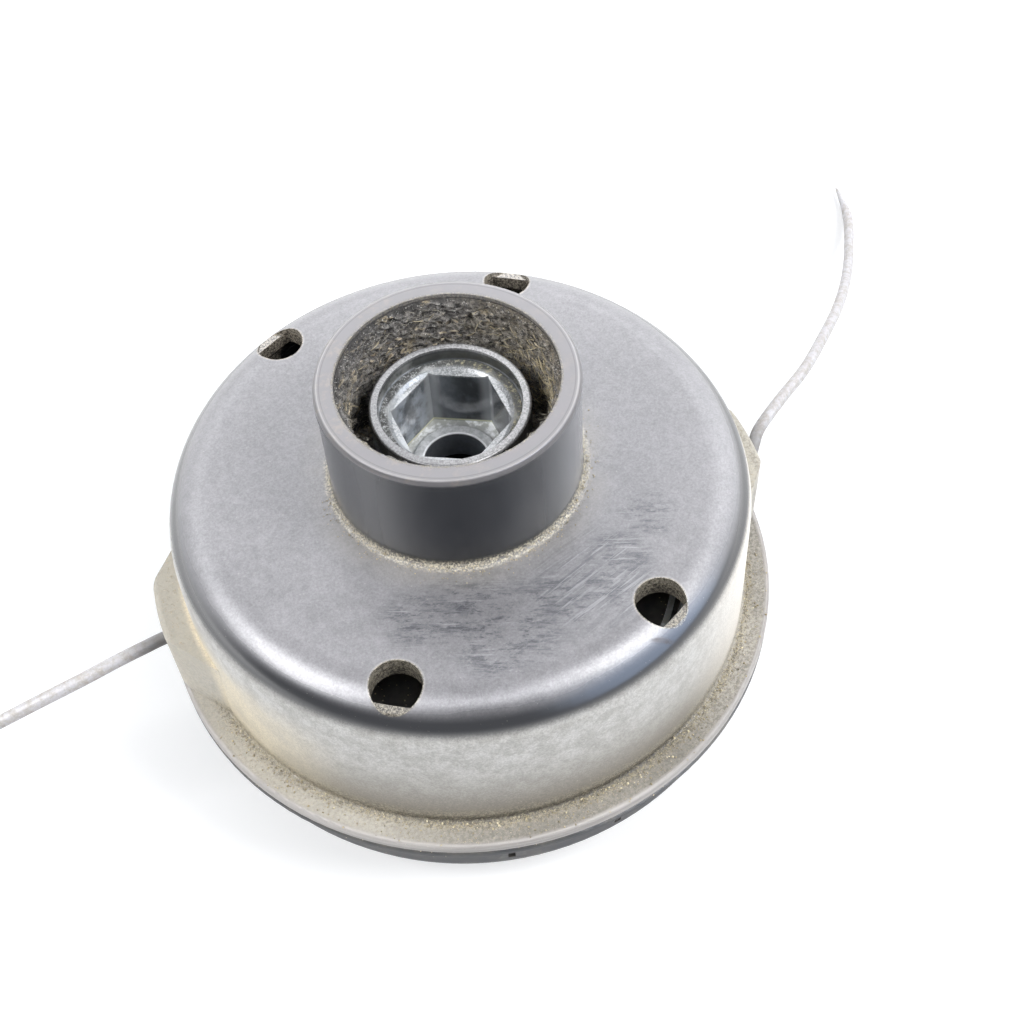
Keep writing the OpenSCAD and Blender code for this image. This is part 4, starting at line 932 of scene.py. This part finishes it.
# Line eyelets.
# Two pressed aluminium eyelets in the wall, through which the lines leave. The line has polished their
# mouths, and the rest is dull with dust.
def eyelet_material():
    """Dull aluminium under a patchy haze of dust, a little thinner on faces that look down."""
    material = new_material("eyelet_metal")
    tree = material.node_tree
    place = add(tree, "TexCoord").outputs["Object"]
    dust = add(tree, "Group", {"Amount": 0.6, "Grain": 0.0003, "Upward": 0.3}, node_tree=DUST)
    colour = tint(tree, dust.outputs["Haze"], (0.55, 0.55, 0.54), (0.33, 0.30, 0.25))
    rough = slope(tree, dust.outputs["Haze"], 0, 1, 0.30, 0.7)
    worn = bumps(tree, grain(tree, place, 0.0004, 4), 0.00004)
    finish(tree, colour, rough, worn, slope(tree, dust.outputs["Haze"], 0, 1, 0.95, 0.2))
    return material


eyelet_metal = eyelet_material()
finish_node("left_eyelet", eyelet_metal)
finish_node("right_eyelet", eyelet_metal)


# Cover.
# The lower half of the casing, a black nylon disc that latches under the flange with two tongues. It
# carries the index ring for the spool and has the opening for the knob.
def black_nylon(name, bare, film, dusty, grain_size=0.0003, rough=0.48):
    """Plain black nylon with a haze of wear and dust on what looks up."""
    material = new_material(name)
    tree = material.node_tree
    skin = add(tree, "Group", {"Grain": grain_size}, node_tree=SKIN)
    dust = add(tree, "Group", {"Amount": dusty, "Grain": 0.0004, "Upward": 0.8}, node_tree=DUST)
    colour = tint(tree, slope(tree, skin.outputs["Clouds"], 0.35, 0.75, 0.05, 0.6), bare, film)
    colour = tint(tree, times(tree, dust.outputs["Haze"], 0.6), colour, (0.24, 0.22, 0.18))
    colour = tint(tree, times(tree, dust.outputs["Grains"], 0.8), colour, TAN_GRAIN)
    worn = slope(tree, skin.outputs["Clouds"], 0.2, 0.8, rough - 0.08, rough + 0.12)
    relief = calc(tree, "ADD", calc(tree, "MULTIPLY", skin.outputs["Height"], 0.15), dust.outputs["Grains"])
    finish(tree, colour, worn, bumps(tree, relief, 0.00010))
    return material


# Painted shade: the cover's nylon is darker than the spool's, standing for the flange's shadow over it.
finish_node("cover", black_nylon("cover_nylon", (0.014, 0.015, 0.017), (0.050, 0.051, 0.055), 0.25, rough=0.55))


# Spool.
# One moulding of black nylon with two chambers for line, a row of index teeth on either side and
# notches that park the lines' ends. It turns on the housing's centre post.
finish_node("spool", black_nylon("spool_nylon", (0.024, 0.024, 0.026), (0.060, 0.060, 0.064), 0.25, rough=0.42))


# Windings.
# Several metres of grey nylon line wound into each chamber, side by side in layers.
for name in ("upper_winding", "lower_winding"):
    finish_node(name, line_nylon)


# Line scraps.
# Two cut ends of line that have worked up into the drum, seen through the hole at the front on the right.
# Painted light: the scraps are near white, much paler than the grey line they were cut from, standing for the light
# that falls on them deep in the drum.
scrap = new_material("scrap_line")
tree = scrap.node_tree
scrap_place = add(tree, "TexCoord").outputs["Object"]
scrap_shade = slope(tree, grain(tree, scrap_place, 0.0015, 4), 0.35, 0.65)
finish(tree, tint(tree, scrap_shade, (0.95, 0.96, 0.97), (0.80, 0.80, 0.76)), 0.40, bumps(tree, scrap_shade, 0.00003))
for name in ("line_bit_1", "line_bit_2"):
    finish_node(name, scrap)


# Spring, washer and seat.
# A coil of dark oiled spring wire presses the spool down and shortens as the knob is bumped. It stands
# on a plain steel washer below, and its top end sits in a natural acetal ring under the hub.
def oiled_steel(name, bright, dull, roughness):
    """Steel with thin patches of oil and a little brown in them."""
    material = new_material(name)
    tree = material.node_tree
    place = add(tree, "TexCoord").outputs["Object"]
    film = slope(tree, grain(tree, place, 0.003, 5, 0.6), 0.35, 0.68)
    colour = tint(tree, film, bright, dull)
    rough = slope(tree, film, 0, 1, roughness, roughness + 0.2)
    finish(tree, colour, rough, bumps(tree, grain(tree, place, 0.0002, 3), 0.00002), 1.0)
    return material


spring_shape = bmesh.new()
spring_shape.from_mesh(nodes["spring"].data)
bmesh.ops.remove_doubles(spring_shape, verts=spring_shape.verts, dist=0.000001)
spring_wire = oiled_steel("spring_wire", (0.20, 0.20, 0.21), (0.11, 0.10, 0.085), 0.28)
spring = new_piece("spring_coil", spring_shape, spring_wire, "head")
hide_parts("spring")
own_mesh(spring)
finish_node("thrust_washer", oiled_steel("washer_steel", (0.55, 0.55, 0.56), (0.33, 0.31, 0.28), 0.24))
acetal = new_material("seat_acetal")
tree = acetal.node_tree
acetal_place = add(tree, "TexCoord").outputs["Object"]
acetal_shade = slope(tree, grain(tree, acetal_place, 0.004, 5), 0.4, 0.7)
finish(tree, tint(tree, acetal_shade, (0.62, 0.60, 0.54), (0.40, 0.37, 0.31)), 0.38, bumps(tree, acetal_shade, 0.00003))
finish_node("spring_seat", acetal)


# Knob and its screws.
# A black nylon knob that the user bumps on the ground to feed line, held to the spool by three
# zinc-plated screws. The ground has ground its face grey.
KNOB_FACE = 0.0


def knob_material():
    """Black nylon, scraped grey on the face that meets the ground, with soil in the scrapes."""
    material = new_material("knob_nylon")
    tree = material.node_tree
    place = add(tree, "TexCoord").outputs["Object"]
    height = add(tree, "SeparateXYZ", {"Vector": place}).outputs["Z"]
    skin = add(tree, "Group", {"Grain": 0.0003}, node_tree=SKIN)
    face = slope(tree, height, KNOB_FACE + 0.0035, KNOB_FACE + 0.0008)
    across = add(tree, "Group", {"Turn": (0, 0, 0.5), "Amount": 1.0}, node_tree=SCRATCHES)
    along = add(tree, "Group", {"Turn": (0, 0, 2.1), "Amount": 1.0}, node_tree=SCRATCHES)
    scraped = calc(tree, "MAXIMUM", across.outputs["Scratches"], along.outputs["Scratches"])
    colour = tint(tree, slope(tree, skin.outputs["Clouds"], 0.35, 0.75, 0.1, 0.6), (0.025, 0.025, 0.027), (0.09, 0.09, 0.092))
    colour = tint(tree, times(tree, face, slope(tree, skin.outputs["Clouds"], 0.3, 0.6, 0.5, 0.9)), colour, (0.15, 0.145, 0.135))
    colour = tint(tree, times(tree, scraped, face), colour, (0.30, 0.29, 0.27))
    rough = slope(tree, face, 0, 1, 0.45, 0.72)
    relief = calc(tree, "SUBTRACT", calc(tree, "MULTIPLY", skin.outputs["Height"], 0.2), times(tree, scraped, face))
    finish(tree, colour, rough, bumps(tree, relief, 0.00015))
    return material


finish_node("bump_knob", knob_material())
screw_steel = oiled_steel("screw_steel", (0.58, 0.57, 0.54), (0.34, 0.31, 0.25), 0.26)
for name in ("knob_screw_1", "knob_screw_2", "knob_screw_3"):
    finish_node(name, screw_steel)
